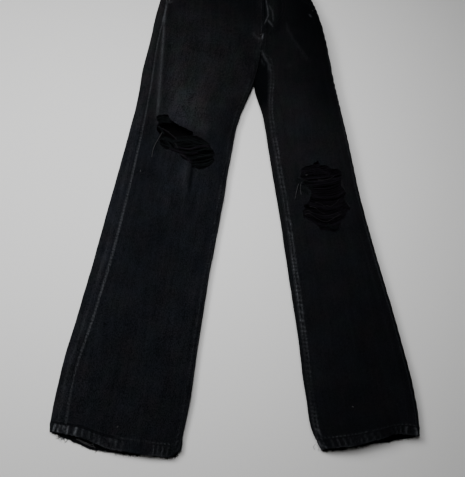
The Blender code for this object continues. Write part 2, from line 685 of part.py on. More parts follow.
def make_loop(side, where, material):
    """A belt loop across the waistband."""
    edges = loop_edges(side, where)

    def mapping(u, v, layer):
        level = LOOP_LOW + v * (LOOP_HIGH - LOOP_LOW)
        return place(side, level, edges[0] + u * (edges[1] - edges[0]), -GAP - layer * LOOP_WALL)

    return patch(f"belt_loop_{side}_{where}", 1, 2, mapping, material)


def make_centre_loop(material):
    """The loop at the centre back lies across both halves."""

    def mapping(u, v, layer):
        level = LOOP_LOW + v * (LOOP_HIGH - LOOP_LOW)
        offset = (u - 0.5) * LOOP_WIDTH
        depth = -GAP - layer * LOOP_WALL
        left = place("left", level, g_under("left", level, np.abs(offset)), depth)
        right = place("right", level, g_under("right", level, np.abs(offset)), depth)
        return np.where((offset >= 0)[:, None], left, right)

    return patch("belt_loop_centre", 2, 2, mapping, material)


def main():
    for obj in list(bpy.data.objects):
        bpy.data.objects.remove(obj, do_unlink=True)
    cloth = denim("black_denim", (0.012, 0.012, 0.014), 0.9)
    tape = denim("zip_tape", (0.010, 0.010, 0.011), 0.8)
    metal = denim("dark_metal", (0.16, 0.15, 0.14), 0.4, metallic=1.0)
    for side in SIDES:
        tear(side, make_front(side, cloth))
        make_back(side, cloth)
        make_yoke(side, cloth)
        make_facing(side, cloth)
        make_back_pocket(side, cloth)
    make_fly(tape, metal)
    make_waistband(cloth)
    make_button(metal)
    for side in SIDES:
        for where in LOOPS_AT[side]:
            make_loop(side, where, cloth)
    make_centre_loop(cloth)


main()
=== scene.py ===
# %% [markdown]
# # Black ripped jeans, laid flat
# The jeans lie on a pale floor with their front up: two wide, lightly flared legs, torn open at both knees,
# worn along every seam and frayed at the hems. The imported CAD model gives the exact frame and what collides.
# This file replaces each of its plain cloth solids with a thin shell that has the same form and the same
# seams, but fine enough for puckers, creases, torn edges and stitches.
#
# Metres. +Z is up, +Y runs to the waist and +X to the wearer's left.

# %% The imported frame
from functools import partial

import bmesh
import bpy
import numpy as np
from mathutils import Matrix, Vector


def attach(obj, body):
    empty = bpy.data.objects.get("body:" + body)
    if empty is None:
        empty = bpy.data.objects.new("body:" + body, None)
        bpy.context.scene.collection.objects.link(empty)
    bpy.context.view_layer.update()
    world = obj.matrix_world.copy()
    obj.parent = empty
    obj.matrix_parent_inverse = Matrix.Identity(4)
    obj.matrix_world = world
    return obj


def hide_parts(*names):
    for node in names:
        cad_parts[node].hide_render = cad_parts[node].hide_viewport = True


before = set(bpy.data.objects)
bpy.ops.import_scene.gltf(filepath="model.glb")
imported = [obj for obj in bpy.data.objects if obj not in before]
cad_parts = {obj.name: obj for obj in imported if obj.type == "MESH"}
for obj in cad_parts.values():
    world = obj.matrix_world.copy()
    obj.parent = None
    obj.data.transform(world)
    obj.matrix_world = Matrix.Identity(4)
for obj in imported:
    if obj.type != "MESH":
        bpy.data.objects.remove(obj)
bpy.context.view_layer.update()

# %% [markdown]
# ## The camera
# It hangs above the hems and looks down at the jeans, leaning a little towards the waist, so the legs grow
# slightly narrower as they run away from it.

# %% Camera
CAMERA_TILT = np.radians(18.0)
CAMERA_DISTANCE = 1.212
CAMERA_TARGET = Vector((-0.0025, -0.1365, 0.0))
CAMERA_LENS = 45.28

camera = bpy.data.objects.new("camera", bpy.data.cameras.new("camera"))
camera.data.lens = CAMERA_LENS
camera.data.sensor_width = 36.0
camera.location = CAMERA_TARGET + CAMERA_DISTANCE * Vector((0.0, -np.sin(CAMERA_TILT), np.cos(CAMERA_TILT)))
camera.rotation_euler = (CAMERA_TILT, 0.0, 0.0)
bpy.context.scene.collection.objects.link(camera)
bpy.context.scene.camera = camera
print("camera at", [round(v, 3) for v in camera.location])

# %% [markdown]
# ## Shader arithmetic
# A finish is mostly sums and products of noises and masks. Wiring each Math node by hand hides the formula,
# so a small class wraps a socket and lets Python's own operators add the Math nodes.

# %% Shader helpers
class Wire:
    """A node's output socket that can be used in arithmetic with numbers and other wires."""

    def __init__(self, finish, socket):
        self.finish = finish
        self.socket = socket

    def maths(self, operation, first, second=0.0):
        return self.finish.node("ShaderNodeMath", {"operation": operation}, {0: first, 1: second})

    def __add__(self, other):
        return self.maths("ADD", self, other)

    def __mul__(self, other):
        return self.maths("MULTIPLY", self, other)

    def __sub__(self, other):
        return self.maths("SUBTRACT", self, other)

    def __rsub__(self, other):
        return self.maths("SUBTRACT", other, self)

    __radd__ = __add__
    __rmul__ = __mul__

    def wave(self):
        return self.maths("SINE", self)

    def clipped(self):
        return self.finish.node("ShaderNodeClamp", {}, {"Value": self})


class Finish:
    """A material and the one method that adds nodes to it."""

    def __init__(self, name):
        self.material = bpy.data.materials.new(name)
        self.material.use_nodes = True
        self.tree = self.material.node_tree
        self.shader = self.tree.nodes["Principled BSDF"]

    def node(self, kind, settings, values, output=0):
        made = self.tree.nodes.new(kind)
        for name, value in settings.items():
            setattr(made, name, value)
        self.set(made, values)
        return Wire(self, made.outputs[output])

    def set(self, made, values):
        for name, value in values.items():
            if isinstance(value, Wire):
                self.tree.links.new(value.socket, made.inputs[name])
            else:
                made.inputs[name].default_value = value

    def mix(self, share, low, high):
        settings = {"data_type": "RGBA"}
        return self.node("ShaderNodeMix", settings, {0: share, 6: low, 7: high}, output=2)

    def position(self):
        return self.node("ShaderNodeTexCoord", {}, {}, output=3)

    def attribute(self, name):
        return self.node("ShaderNodeAttribute", {"attribute_name": name}, {}, output=2)

    def stretched(self, place, scale):
        return self.node("ShaderNodeMapping", {}, {"Vector": place, "Scale": scale})

    def noise(self, place, scale, detail=2.0, roughness=0.5):
        values = {"Vector": place, "Scale": scale, "Detail": detail, "Roughness": roughness}
        return self.node("ShaderNodeTexNoise", {}, values)

    def bump(self, height, strength, distance):
        values = {"Height": height, "Strength": strength, "Distance": distance}
        return self.node("ShaderNodeBump", {}, values)


# %% [markdown]
# ## Denim
# Black denim is a twill: dark warp threads run down the leg and cover a greyer weft. Washing rubs the warp
# pale where it stands proud, along seams and over the thighs. Every panel carries a UV map in metres, u
# across the leg and v along the grain, so the twill, the slubs and the streaks follow the cloth. Three
# attributes say what changes over it: `fade` for the large washed areas, lowered where shade is painted
# into grooves, under edges and beside the crotch; `wear` for rubbed seams and edges, and for highlights
# painted on the lit side of a few creases; and `inside` for the reverse, kept near black as painted shade
# for the insides seen through the rips and hems.

# %% Denim finish
def tone(*parts):
    """A colour from its red, green and blue in thousandths."""
    return (*(part / 1000 for part in parts), 1.0)


BLACK = tone(1.1, 1.5, 2.1)
WASHED_GREEN = tone(17.0, 19.8, 18.8)
WASHED_PLUM = tone(20.6, 17.8, 19.6)
WASHED_BLUE = tone(16.4, 19.0, 26.2)
RUBBED = tone(105, 110, 122)
# The reverse's tone is kept near black as painted shade, so the insides seen through the rips and hems stay
# dark.
REVERSE_PAINTED_SHADE = tone(1.6, 1.5, 1.7)
TWILL_PITCH = 0.0011
DENIM_SPECULAR = 0.025
DENIM_ROUGHNESS = 0.95
RELIEF_DEPTH = 0.00028


def denim_finish(name):
    made = Finish(name)
    cloth_uv = made.node("ShaderNodeUVMap", {"uv_map": "grain"}, {})
    split = made.tree.nodes.new("ShaderNodeSeparateXYZ")
    made.set(split, {0: cloth_uv})
    across, along = Wire(made, split.outputs[0]), Wire(made, split.outputs[1])

    def woven(times_across, times_along, detail, roughness=0.5):
        """A noise round zero that varies this many times a metre across and along the leg."""
        place = made.stretched(cloth_uv, (times_across, times_along, 1.0))
        return made.noise(place, 1.0, detail, roughness) - 0.5

    slub = woven(600.0, 150.0, 3.0, 0.65)
    fleck = woven(1500.0, 420.0, 1.0)
    salt = woven(560.0, 440.0, 2.0, 0.7)
    streak = woven(150.0, 14.0, 3.0, 0.6)
    dye = woven(27.0, 20.0, 1.0)
    other_dye = woven(19.0, 23.0, 1.0)
    cloud = made.noise(made.position(), 26.0, 5.0, 0.62) - 0.5
    twill = ((across + along) * (2 * np.pi / TWILL_PITCH)).wave()
    # The map of the wearer's left half starts at 1, and its cloth is smoother.
    calm = 1.50 - ((across - 0.6) * 9.0).clipped() * 0.58
    fine = slub * 0.9 + fleck * 0.5 + salt * 1.7
    texture = (fine + streak * 0.45 + cloud * 0.45) * calm
    fade = made.attribute("fade")
    washed = (fade * (1.0 + texture * (fade * 2.2 + 1.3)) + texture * 0.07 + twill * 0.02).clipped()
    # The wear attribute also carries highlights painted on the lit side of a few creases.
    rubbed = (made.attribute("wear") * (0.80 + texture * 1.5)).clipped()
    blue = (made.attribute("blue") + other_dye * 1.3).clipped()
    washed_tone = made.mix((dye * 3.4 + 0.62).clipped(), WASHED_GREEN, WASHED_PLUM)
    washed_tone = made.mix(blue, washed_tone, WASHED_BLUE)
    colour = made.mix(washed, BLACK, washed_tone)
    colour = made.mix(rubbed, colour, RUBBED)
    # The reverse colour is painted shade as well as the back of the cloth.
    colour = made.mix(made.attribute("inside"), colour, REVERSE_PAINTED_SHADE)
    made.set(made.shader, {
        "Base Color": colour,
        "Roughness": DENIM_ROUGHNESS,
        "Specular IOR Level": DENIM_SPECULAR,
        "Normal": made.bump(twill * 0.35 + slub * 1.6 + fleck * 0.8, 0.5, RELIEF_DEPTH),
    })
    return made.material


denim = denim_finish("washed_black_denim")
print("made", denim.name)

# %% Thread, zip tape and metal
NICKEL_DARK, NICKEL_LIGHT = tone(90, 85, 80), tone(260, 250, 240)


def thread_finish(name, low, high):
    made = Finish(name)
    position = made.position()
    made.set(made.shader, {
        "Base Color": made.mix(made.noise(position, 420.0), low, high),
        "Roughness": 0.85,
        "Specular IOR Level": 0.06,
        "Normal": made.bump(made.noise(position, 3500.0), 0.4, 0.0001),
    })
    return made.material


def metal_finish():
    made = Finish("dark_antique_nickel")
    rub = made.noise(made.position(), 700.0, 4.0, 0.7)
    made.set(made.shader, {
        "Base Color": made.mix(rub, NICKEL_DARK, NICKEL_LIGHT),
        "Roughness": rub * 0.35 + 0.25,
        "Metallic": 1.0,
        "Normal": made.bump(rub, 0.2, 0.0001),
    })
    return made.material


stitching = thread_finish("black_topstitch", tone(3, 3, 4), tone(14, 14, 16))
yarn = thread_finish("torn_weft", tone(2.0, 2.8, 3.2), tone(5.8, 7.2, 7.8))
plum_yarn = thread_finish("torn_weft_plum", tone(3.6, 3.0, 4.6), tone(8.4, 7.2, 10.2))
pale_yarn = thread_finish("rubbed_weft", tone(6, 6, 6.5), tone(24, 22, 25))
lint = thread_finish("lint", tone(50, 50, 52), tone(170, 170, 175))
frayed_warp = thread_finish("frayed_warp", tone(6, 6, 7), tone(75, 75, 80))
tape_cloth = thread_finish("zip_tape_weave", tone(4, 4, 4.5), tone(9, 9, 10))
metal = metal_finish()
print("materials", sorted(material.name for material in bpy.data.materials))

# %% [markdown]
# ## The sleeve
# Each half of the jeans, a leg with its half of the hips, is one sleeve. A row of the table cuts it across:
# it goes from the inner end, over the front, round the outer edge and back underneath. Every piece of cloth
# is a grid mapped on to that sleeve, so neighbours share their seams. The tables are the ones that the CAD
# model was built from, with the seams and the inner edges moved by a few millimetres to where the cloth
# shows them.

# %% Sizes of the cloth
WALL = 0.0013
GAP = 0.0003
HEM_WALL = 0.0028
BAND_WALL = 0.0026
LOOP_WALL = 0.0020
LAYER = WALL + GAP
HEM_TOP = 0.022
FORK = 0.762
CROTCH = 0.827
POCKET_CORNER = 0.925
WAIST_SEAM = 1.040
WAIST_TOP = 1.078
SQUARENESS = 2.4
CORNER = 0.16
CREASE_MARGIN = 0.10
TINY = 1e-6
SIDES = ("right", "left")
OUTWARD = {"right": -1.0, "left": 1.0}
print("one layer of cloth with its gap", LAYER)

# %% Sections of the sleeve
def table(text, columns):
    """Rows of this many numbers. They are written in thousandths: millimetres, or parts of a whole."""
    return np.array(text.replace(",", " ").split(), dtype=float).reshape(-1, columns) / 1000


def columns_of(text, names):
    """A table's columns by name."""
    names = names.split()
    return dict(zip(names, table(text, len(names)).T))


SECTIONS = {
    "right": """
    0 -97 -548 8 5 -334 -508 8 19 520 30, 32 -92 -516 8 5 -334 -478 8 19 520 31,
    95 -80.5 -452 9 5 -325 -407 9 21 500 30, 205 -65.5 -342 9 5 -300 -294 10 22 480 33,
    322 -49 -225 10 5 -275 -176 10 22 500 36, 448 -27.5 -100 10 5 -251 -53 11 24 520 35,
    570 -9 21 10 5 -227 69 11 27 500 31, 688 15.5 139 10 5 -207 184 12 30 450 27,
    762 44.8 215 10 7 -200 244 13 33 350 26, 797 53 248 16 5 -194 278 14 38 280 23,
    827 59 277 42 1 -188 312 15 46 220 22, 915 63 366 50 0 -174 399 16 52 200 24,
    953 64 404 50 0 -166 433 17 51 200 18, 1040 64 489 43 0 -150 510 16 44 200 10,
    1078 64 527 40 0 -145 549 15 41 200 10
    """,
    "left": """
    0 157 -538 10 3 335 -515 12 30 500 8, 35 142 -507 11 8 336 -484 13 31 500 8,
    95 133 -452 12 9 330 -426 15 34 480 8, 205 122 -343 12 10.5 309 -311 16 36 460 8,
    322 108 -226 12 12.5 284 -193 18 39 460 8, 448 93 -101 12 13.5 259 -72 20 43 440 8,
    570 77 21 12 13.5 242 48 22 47 420 7, 688 61 138 12 17 224 160 24 51 400 5,
    762 45.2 215 10 36 214 222 26 53 380 4, 797 53 248 16 24 209 262 27 54 320 4,
    827 59 277 42 1 204 300 28 56 300 3, 915 63 366 50 0 186 385 30 61 300 3,
    953 64 404 50 0 175 420 29 60 300 3, 1040 64 489 43 0 158 493 22 47 300 3,
    1078 64 527 40 0 153 531 19 42 300 3
    """,
}
SECTION_COLUMNS = "level x_in y_in z_in inseam x_out y_out z_out crown crown_at outseam"
TABLES = {side: columns_of(text, SECTION_COLUMNS) for side, text in SECTIONS.items()}
SEAT = columns_of("""
    762 45 215, 797 30 264, 827 19 300, 915 7 398, 953 5 436, 1040 3 512, 1078 3 549
    """, "level x y")
print("sections", {side: len(rows["level"]) for side, rows in TABLES.items()})

# %% [markdown]
# ## Creases
# Each crease is a soft ridge, or a trough where its height is negative, that fades in and out past its two
# ends. A row gives the start, the end, the half width and the height. The first 13 on the front are the
# large ones, which the CAD solids have too. The rest are finer: pulls beside the fly and the crotch, drag
# lines above the knees and long shallow folds down the shins. The back has its own few.

# %% Crease tables
FRONT_FOLDS = table(
    """
    -150 460 -162 125 9 4, -88 20 -104 -130 14 3, -60 130 -150 190 20 2.2, -190 -230 -230 -420 22 1.8,
    -110 -150 -130 -400 20 -1.8, 40 300 -70 345 13 -3.2, 36 332 -80 392 12 2.4, 78 300 170 345 13 -3.4,
    100 335 158 232 13 5, 70 342 88 300 8 2.8, 120 30 215 55 16 3, 125 -150 235 -165 18 -2.6,
    190 -180 225 -400 22 3, -94 18 -99 -38 5 3, -85 12 -91 -45 5.2 -3.4, 52 325 -20 318 5 -1.2,
    50 352 -35 362 7 -1, 45 290 -45 270 8 1.2, 66 338 79 322 3 2, 79 322 71 308 2.6 -2,
    74 330 88 312 2.8 1.8, 112 330 128 282 4.5 2.2, 128 282 156 252 5 1.8, 100 262 150 225 7 1.3,
    90 205 190 190 8 -1.2, 95 175 180 150 9 1.2, -180 80 -150 0 7 -1.2, -166 60 -175 -40 6 1.2,
    -60 -10 -75 -120 9 1, -215 -60 -235 -180 8 1.2, -150 -190 -165 -330 12 1.2, -250 -300 -262 -440 9 -1.2,
    -130 -420 -240 -405 10 -1, 130 -120 155 -210 8 1.2, 215 -120 232 -230 8 -1.4, 150 -250 170 -390 11 -1.4,
    255 -290 290 -430 10 1.4, 180 -420 290 -440 10 1
    """, 6)
BACK_FOLDS = table(
    """
    -60 170 -170 215 14 3.5, -40 130 -150 150 12 2.8, -80 30 -200 20 15 3, -70 -10 -180 55 11 2.2,
    -120 -200 -160 -380 18 2, 80 165 180 190 13 3.5, 95 125 190 135 11 2.6, 110 30 210 40 15 3.2,
    120 0 190 -40 11 2.2, 190 -200 220 -390 18 2.2
    """, 6)
print(len(FRONT_FOLDS), "creases on the front and", len(BACK_FOLDS), "on the back")

# %% Creases and hills
HILLS = 64  # Random heights each way before the hills repeat


def unit(value):
    return np.clip(value, 0, 1)


def smoothstep(low, high, value):
    t = unit((value - low) / (high - low))
    return t * t * (3 - 2 * t)


def crease_height(creases, x, y):
    """The sum of the creases at each point."""
    total = np.zeros_like(x)
    for x_start, y_start, x_end, y_end, half_width, height in creases:
        length = np.hypot(x_end - x_start, y_end - y_start)
        along_x, along_y = (x_end - x_start) / length, (y_end - y_start) / length
        along = ((x - x_start) * along_x + (y - y_start) * along_y) / length
        off = (x - x_start) * along_y - (y - y_start) * along_x
        taper = smoothstep(-0.15, 0.35, along) * smoothstep(-0.15, 0.35, 1 - along)
        total += height * taper * np.exp(-((off / half_width) ** 2))
    return total


def hills(u, v, size_u, size_v, seed):
    """Smooth random hills of this size over the cloth, from -1 to 1."""
    heights = np.random.default_rng(seed).uniform(-1, 1, (HILLS, HILLS))
    column, row = np.floor(u / size_u), np.floor(v / size_v)
    share_u, share_v = smoothstep(0, 1, u / size_u - column), smoothstep(0, 1, v / size_v - row)
    column, row = column.astype(int), row.astype(int)

    def along(row):
        near, far = heights[row % HILLS, column % HILLS], heights[row % HILLS, (column + 1) % HILLS]
        return near * (1 - share_u) + far * share_u

    return along(row) * (1 - share_v) + along(row + 1) * share_v


print("height of the first crease", crease_height(FRONT_FOLDS, *FRONT_FOLDS[:1, :2].T).round(4))

# %% Sections between the rows
SEAT_LIFT = LAYER
BAND_LIFT = LOOP_WALL + GAP


def smooth(levels, values, at):
    """Reads a column with a cubic through its rows, and on in a straight line past the first and last."""
    slopes = np.gradient(values, levels)
    past = at - np.clip(at, levels[0], levels[-1])
    at = at - past
    row = np.clip(np.searchsorted(levels, at) - 1, 0, len(levels) - 2)
    span = levels[row + 1] - levels[row]
    t = (at - levels[row]) / span
    start = (2 * t**3 - 3 * t**2 + 1) * values[row] + (t**3 - 2 * t**2 + t) * span * slopes[row]
    end = (3 * t**2 - 2 * t**3) * values[row + 1] + (t**3 - t**2) * span * slopes[row + 1]
    return start + end + past * np.where(past < 0, slopes[0], slopes[-1])


def section(side, level):
    """All columns of a side's table at these levels, and the width of the section."""
    rows = TABLES[side]
    s = {name: smooth(rows["level"], column, level) for name, column in rows.items() if name != "level"}
    s["run_x"], s["run_y"] = s["x_out"] - s["x_in"], s["y_out"] - s["y_in"]
    s["width"] = np.hypot(s["run_x"], s["run_y"])
    return s


def floor_of(level):
    """The height of the underside: on the floor, except where pockets and loops lie beneath it."""
    seat = SEAT_LIFT * smoothstep(0.66, 0.78, level)
    return seat + (BAND_LIFT - SEAT_LIFT) * smoothstep(0.975, 1.035, level)


def reach_at(g):
    return np.abs(np.cos(np.pi * g)) ** (2 / SQUARENESS)


def across_front(s, g):
    """How far across a section of the sleeve g lies, from 0 at the inner end to 1 at the outer edge."""
    return s["crown_at"] + np.where(g < 0.5, -s["crown_at"], 1 - s["crown_at"]) * reach_at(g)


shin = np.array([0.3])
print("the right shin is", section("right", shin)["width"].round(3), "wide")

# %% The upper and the lower face
def front_point(s, level, g):
    """A point of the sleeve's upper face: g is 0 at the inner end and 1 at the outer edge."""
    rise = np.sin(np.pi * unit(g)) ** (2 / SQUARENESS)
    inner = g < 0.5
    opened = smoothstep(FORK, CROTCH, level)
    rise = np.where(inner, (1 - opened) * rise + opened * (1 - reach_at(g) ** 2), rise)
    across = across_front(s, g)
    end_height = np.where(inner, s["z_in"], s["z_out"])
    x = s["x_in"] + across * s["run_x"]
    y = s["y_in"] + across * s["run_y"]
    fade = smoothstep(0, CREASE_MARGIN, g) * smoothstep(0, CREASE_MARGIN, 1 - g)
    z = end_height + (s["crown"] - end_height) * rise + fade * crease_height(FRONT_FOLDS, x, y)
    return np.stack((x, y, z), -1)


def under_point(s, level, t):
    """A point of the underside: t is 0 at the outer edge and 1 at the inner end."""
    closed = level <= FORK + TINY
    end_x = np.where(closed, s["x_in"], smooth(SEAT["level"], SEAT["x"], level))
    end_y = np.where(closed, s["y_in"], smooth(SEAT["level"], SEAT["y"], level))
    length = np.hypot(end_x - s["x_out"], end_y - s["y_out"])
    floor = floor_of(level)
    curl_out = s["z_out"]
    curl_in = np.where(closed, s["z_in"], 0)
    flat_end = np.where(closed, 1 - CORNER, 1)
    out_angle = np.pi / 2 * unit(t / CORNER)
    in_angle = np.pi / 2 * unit((1 - t) / CORNER)
    distance = curl_out + unit((t - CORNER) / (flat_end - CORNER)) * (length - curl_out - curl_in)
    distance = np.where(t < CORNER, curl_out * (1 - np.cos(out_angle)), distance)
    distance = np.where(t > flat_end, length - curl_in * (1 - np.cos(in_angle)), distance)
    z = np.where(t < CORNER, floor + (s["z_out"] - floor) * (1 - np.sin(out_angle)), floor)
    z = np.where(t > flat_end, floor + (s["z_in"] - floor) * (1 - np.sin(in_angle)), z)
    x = s["x_out"] + (end_x - s["x_out"]) * distance / length
    y = s["y_out"] + (end_y - s["y_out"]) * distance / length
    z = z + crease_height(BACK_FOLDS, x, y) * smoothstep(CORNER, 2 * CORNER, t) * smoothstep(0, 0.25, 1 - t)
    return np.stack((x, y, z), -1)


print("under the right shin", under_point(section("right", shin), shin, np.array([0.5]))[0].round(3))

# %% Points and directions
def ring(side, level, g):
    """A point on the sleeve: g runs from 0 to 1 over the front and from 1 to 2 back underneath."""
    s = section(side, level)
    g = np.where(level <= FORK + TINY, g % 2, np.clip(g, 0, 2))
    return np.where((g <= 1)[..., None], front_point(s, level, unit(g)), under_point(s, level, unit(g - 1)))


def surface(side, level, g):
    """Points of the plain sleeve and the directions that stand out of it."""
    step_along, step_around = 0.002, 0.004
    # Steps stay on one side of the fork's end, because the section opens there.
    low, high = level - step_along, level + step_along
    high = np.where((level <= FORK + TINY) & (high > FORK), FORK, high)
    low = np.where((level > FORK + TINY) & (low <= FORK + TINY), FORK + 2 * TINY, low)
    around = ring(side, level, g + step_around) - ring(side, level, g - step_around)
    along = ring(side, high, g) - ring(side, low, g)
    normal = OUTWARD[side] * np.cross(around, along)
    normal /= np.linalg.norm(normal, axis=-1, keepdims=True)
    return ring(side, level, g), normal


print("on the right shin", surface("right", shin, np.array([0.5]))[0][0].round(3))

# %% Places from distances
def g_at(side, level, distance):
    """Where on the front a point lies, from its distance across from the inner end."""
    s = section(side, level)
    across = unit(distance / s["width"])
    inner = unit(1 - across / s["crown_at"])
    outer = unit((across - s["crown_at"]) / (1 - s["crown_at"]))
    from_inner = np.arccos(inner ** (SQUARENESS / 2)) / np.pi
    from_outer = 1 - np.arccos(outer ** (SQUARENESS / 2)) / np.pi
    return np.where(across < s["crown_at"], from_inner, from_outer)


def g_under(side, level, from_end):
    """Where on the open underside a point lies, from its distance to the seat seam."""
    s = section(side, level)
    x, y = (smooth(SEAT["level"], SEAT[name], level) for name in "xy")
    length = np.hypot(x - s["x_out"], y - s["y_out"]) - s["z_out"]
    return 2 - (1 - CORNER) * from_end / length


print("4 cm from the inner edge is", g_at("right", shin, 0.04).round(3), "of the way round the front")

# %% [markdown]
# ## Relief, wear and fade
# The shells stand a little off the plain sleeve. The inseam is felled: the front's folded edge lies over the
# back under two rows of stitches, and the thread has drawn it into short puckers that rubbed pale on top. The
# outseam is pressed open, so it is a fine groove between two small ridges, with the edges of its allowances
# showing faintly on each side. The hem is turned up twice and ropes: its layers crept against each other and
# left slanting ridges. Between the seams the cloth only rolls gently.

# %% Wash and wear tables
FADES = columns_of("""
    0 310 210, 100 300 210, 250 285 230, 450 290 270, 620 285 300, 750 330 235, 860 300 155, 960 225 100,
    1080 200 100
    """, "level right left")
# How blue the wash is: the wearer's right shin is, and the hips are nearly neutral.
BLUES = columns_of("""
    0 440 440, 250 580 350, 450 600 280, 580 560 240, 700 200 160, 820 160 -20, 1080 60 -60
    """, "level right left")
# Larger washed areas, and darker ones, some of them painted shade on the far side of a crease: the middle, the
# two radii, and how much paler the cloth is there
WASH_AND_PAINTED_SHADE_PATCHES = table(
    """
    -90 147 32 40 430, -117 134 18 27 400, -125 215 17 42 150, -125 -60 22 36 60, -12 243 20 22 -40,
    -277 -420 26 46 60, -110 185 40 60 140, -110 270 30 50 60, -55 240 50 50 50, -70 0 22 60 80,
    -190 -10 30 60 -60, -15 100 30 50 -70, -115 -10 18 45 60, 120 120 50 50 40, 34 365 36 80 -130,
    -35 385 36 45 -60, -190 150 13 28 -80, -66 102 14 14 240, 130 -30 14 34 -60, 150 -400 20 60 75,
    -94 374 24 30 80, 185 150 34 55 -85, 150 215 40 45 -45, -163 -165 40 65 -55, 290 -445 28 28 70,
    322 -488 20 26 120, -290 -420 22 20 50, 180 330 35 80 -100, 195 200 28 80 -80, 150 360 30 60 -50,
    83 380 11 45 150, 84 290 14 22 40, 255 -70 20 60 -60
    """, 5)
# Rubbed lines, and highlights painted on the lit side of a few creases, listed as the creases are: start, end,
# half width, strength
WEAR_AND_PAINTED_HIGHLIGHT_LINES = table(
    """
    -148 440 -153 353 2.4 190, -153 360 -157 250 2.2 210, -156 262 -162 118 2.6 170, -153 360 -162 118 7 50,
    -156 372 -153 352 4 120, 114.3 338.8 119 312 3.4 50, 118 320 129 290 3.6 55, 126 296 150 259 4.2 45,
    144 268 162 243 6 40, 105 228.9 124 232 4 15, -96 22 -101 -50 7 50, -89.5 22 -96 -45 2.2 30,
    -72 -210 -102 -430 12 18, 70.9 405.4 74.7 370 1.3 260, 74.7 380 75.5 352 1.5 240,
    75.5 357.6 66.4 334.1 1.4 260, 73.2 347.1 85.8 323 1.8 260, 76.1 386.7 84.5 365.5 1.4 130,
    84.5 370 86.2 339.3 1.6 160, 63.8 312.5 61.8 299.5 1.4 620, 62.2 344 60 318 1.4 70,
    60.9 405.4 61.1 370 1.2 50, 61 296 56 284 1.6 50, 165.5 364 170.5 356 1.9 260, 61.4 276 73 248 1.8 260,
    71.5 252 78.5 218 1.8 140, 59.6 264 66.5 240 1.3 120, 40 318.6 48.5 305.7 4 60, 48 306 60 299 3 70,
    -144 414 -140 403 6 120
    """, 6)
# Lines of painted shade cast by grooves, edges, the far sides of creases and a loose thread, listed in the
# same way
PAINTED_SHADE_LINES = table(
    """
    67.5 415 68.2 375 1.8 950, 68.2 385 68.9 350 1.8 900, 105.3 405.4 101 350 4 450, 101 360 94.4 310 5 500,
    71.8 334.1 72.7 318.6 2.4 800, 81.3 316 78.9 305.7 2.2 750, 64 330 62.5 316 1.4 600,
    -83.8 24 -90.5 -48 3.2 850, -140 405 -144 330 6 180, -148 300 -150 160 5 200, 64 290 56 278 2 400,
    -155.2 66.3 -164.8 39.9 2.4 550
    """, 6)
# How rubbed the inseam of the wearer's left leg is
LADDER = columns_of("0 560, 40 500, 90 240, 140 260, 200 400, 300 500, 420 440, 500 320, 600 220, "
                    "740 170, 800 60", "level wear")
print(len(WASH_AND_PAINTED_SHADE_PATCHES), "washed areas,", len(WEAR_AND_PAINTED_HIGHLIGHT_LINES), "rubbed lines and", len(PAINTED_SHADE_LINES), "dark ones")

# %% Places and rolling cloth
FLY_BEND = 0.920
FLY_END = 0.862
J_WIDTH = 0.044  # From the centre front to the J of stitches, where it is straight
J_FLARE = 0.007


def by_side(side, right, left):
    return right if side == "right" else left


def lap_of(s):
    """How far past the inseam the front's folded edge lies."""
    return np.minimum(0.0045, 0.7 * s["inseam"])


def wave(phase):
    return np.sin(2 * np.pi * phase)


def bell(distance, half_width):
    return np.exp(-((distance / half_width) ** 2))


def fly_width(level, inner=0.0):
    """The J of stitches beside the fly: how far it lies from the centre front."""
    drop = unit((FLY_BEND - level) / (FLY_BEND - FLY_END - inner))
    return (J_WIDTH + J_FLARE * smoothstep(0.960, FLY_BEND, level) - inner) * np.sqrt(1 - drop**2)


def places_on(side, level, g):
    """Distances on the cloth that its relief and its wear are drawn from."""
    s = section(side, level)
    over = g <= 1
    across = across_front(s, unit(g))
    below = level <= CROTCH + TINY
    from_inner = np.where(over, s["width"] * across, -(2 - g) * s["width"])
    from_outer = np.where(over, s["width"] * (1 - across), -(g - 1) * s["width"])
    folded_edge = from_inner - np.where(below, s["inseam"] - lap_of(s), 0)
    return {
        "grain": np.where(over, from_inner, s["width"] * g),
        "outer": from_outer,
        "edge": np.where((level > FORK + TINY) & (g > 1), -1, folded_edge),
        "side_seam": from_outer - s["outseam"],
        "below": below,
        "over": over,
    }


def soft_relief(side, level, g, at):
    """The gentle rolling of the cloth between its seams. Underneath it only lifts off the floor."""
    u, seed = at["grain"], by_side(side, 11, 23)
    roll = 0.0009 * hills(u, level, 0.048, 0.085, seed) + 0.0004 * hills(u, level, 0.019, 0.034, seed + 1)
    roll += 0.00022 * hills(u, level, 0.009, 0.012, seed + 2)
    roll *= 1 - smoothstep(0.985, 1.03, level)
    roll *= np.where((level > FORK) & at["over"], smoothstep(0, 0.03, u), 1)
    under = smoothstep(1.0, 1.12, g)
    return roll * (1 - under) - np.abs(roll) * under


# %% Relief and wear of the seams
SEAM_ROWS = (0.0020, 0.0084)  # The inseam's two rows of stitches, from its folded edge
FELL_MIDDLE = 0.0050
FELL_WIDTH = 0.0098
ALLOWANCE = 0.0150  # From the outseam to the edges of the cloth pressed open behind it
STITCH_MARK = 0.0068
HEM_STITCH = 0.0190


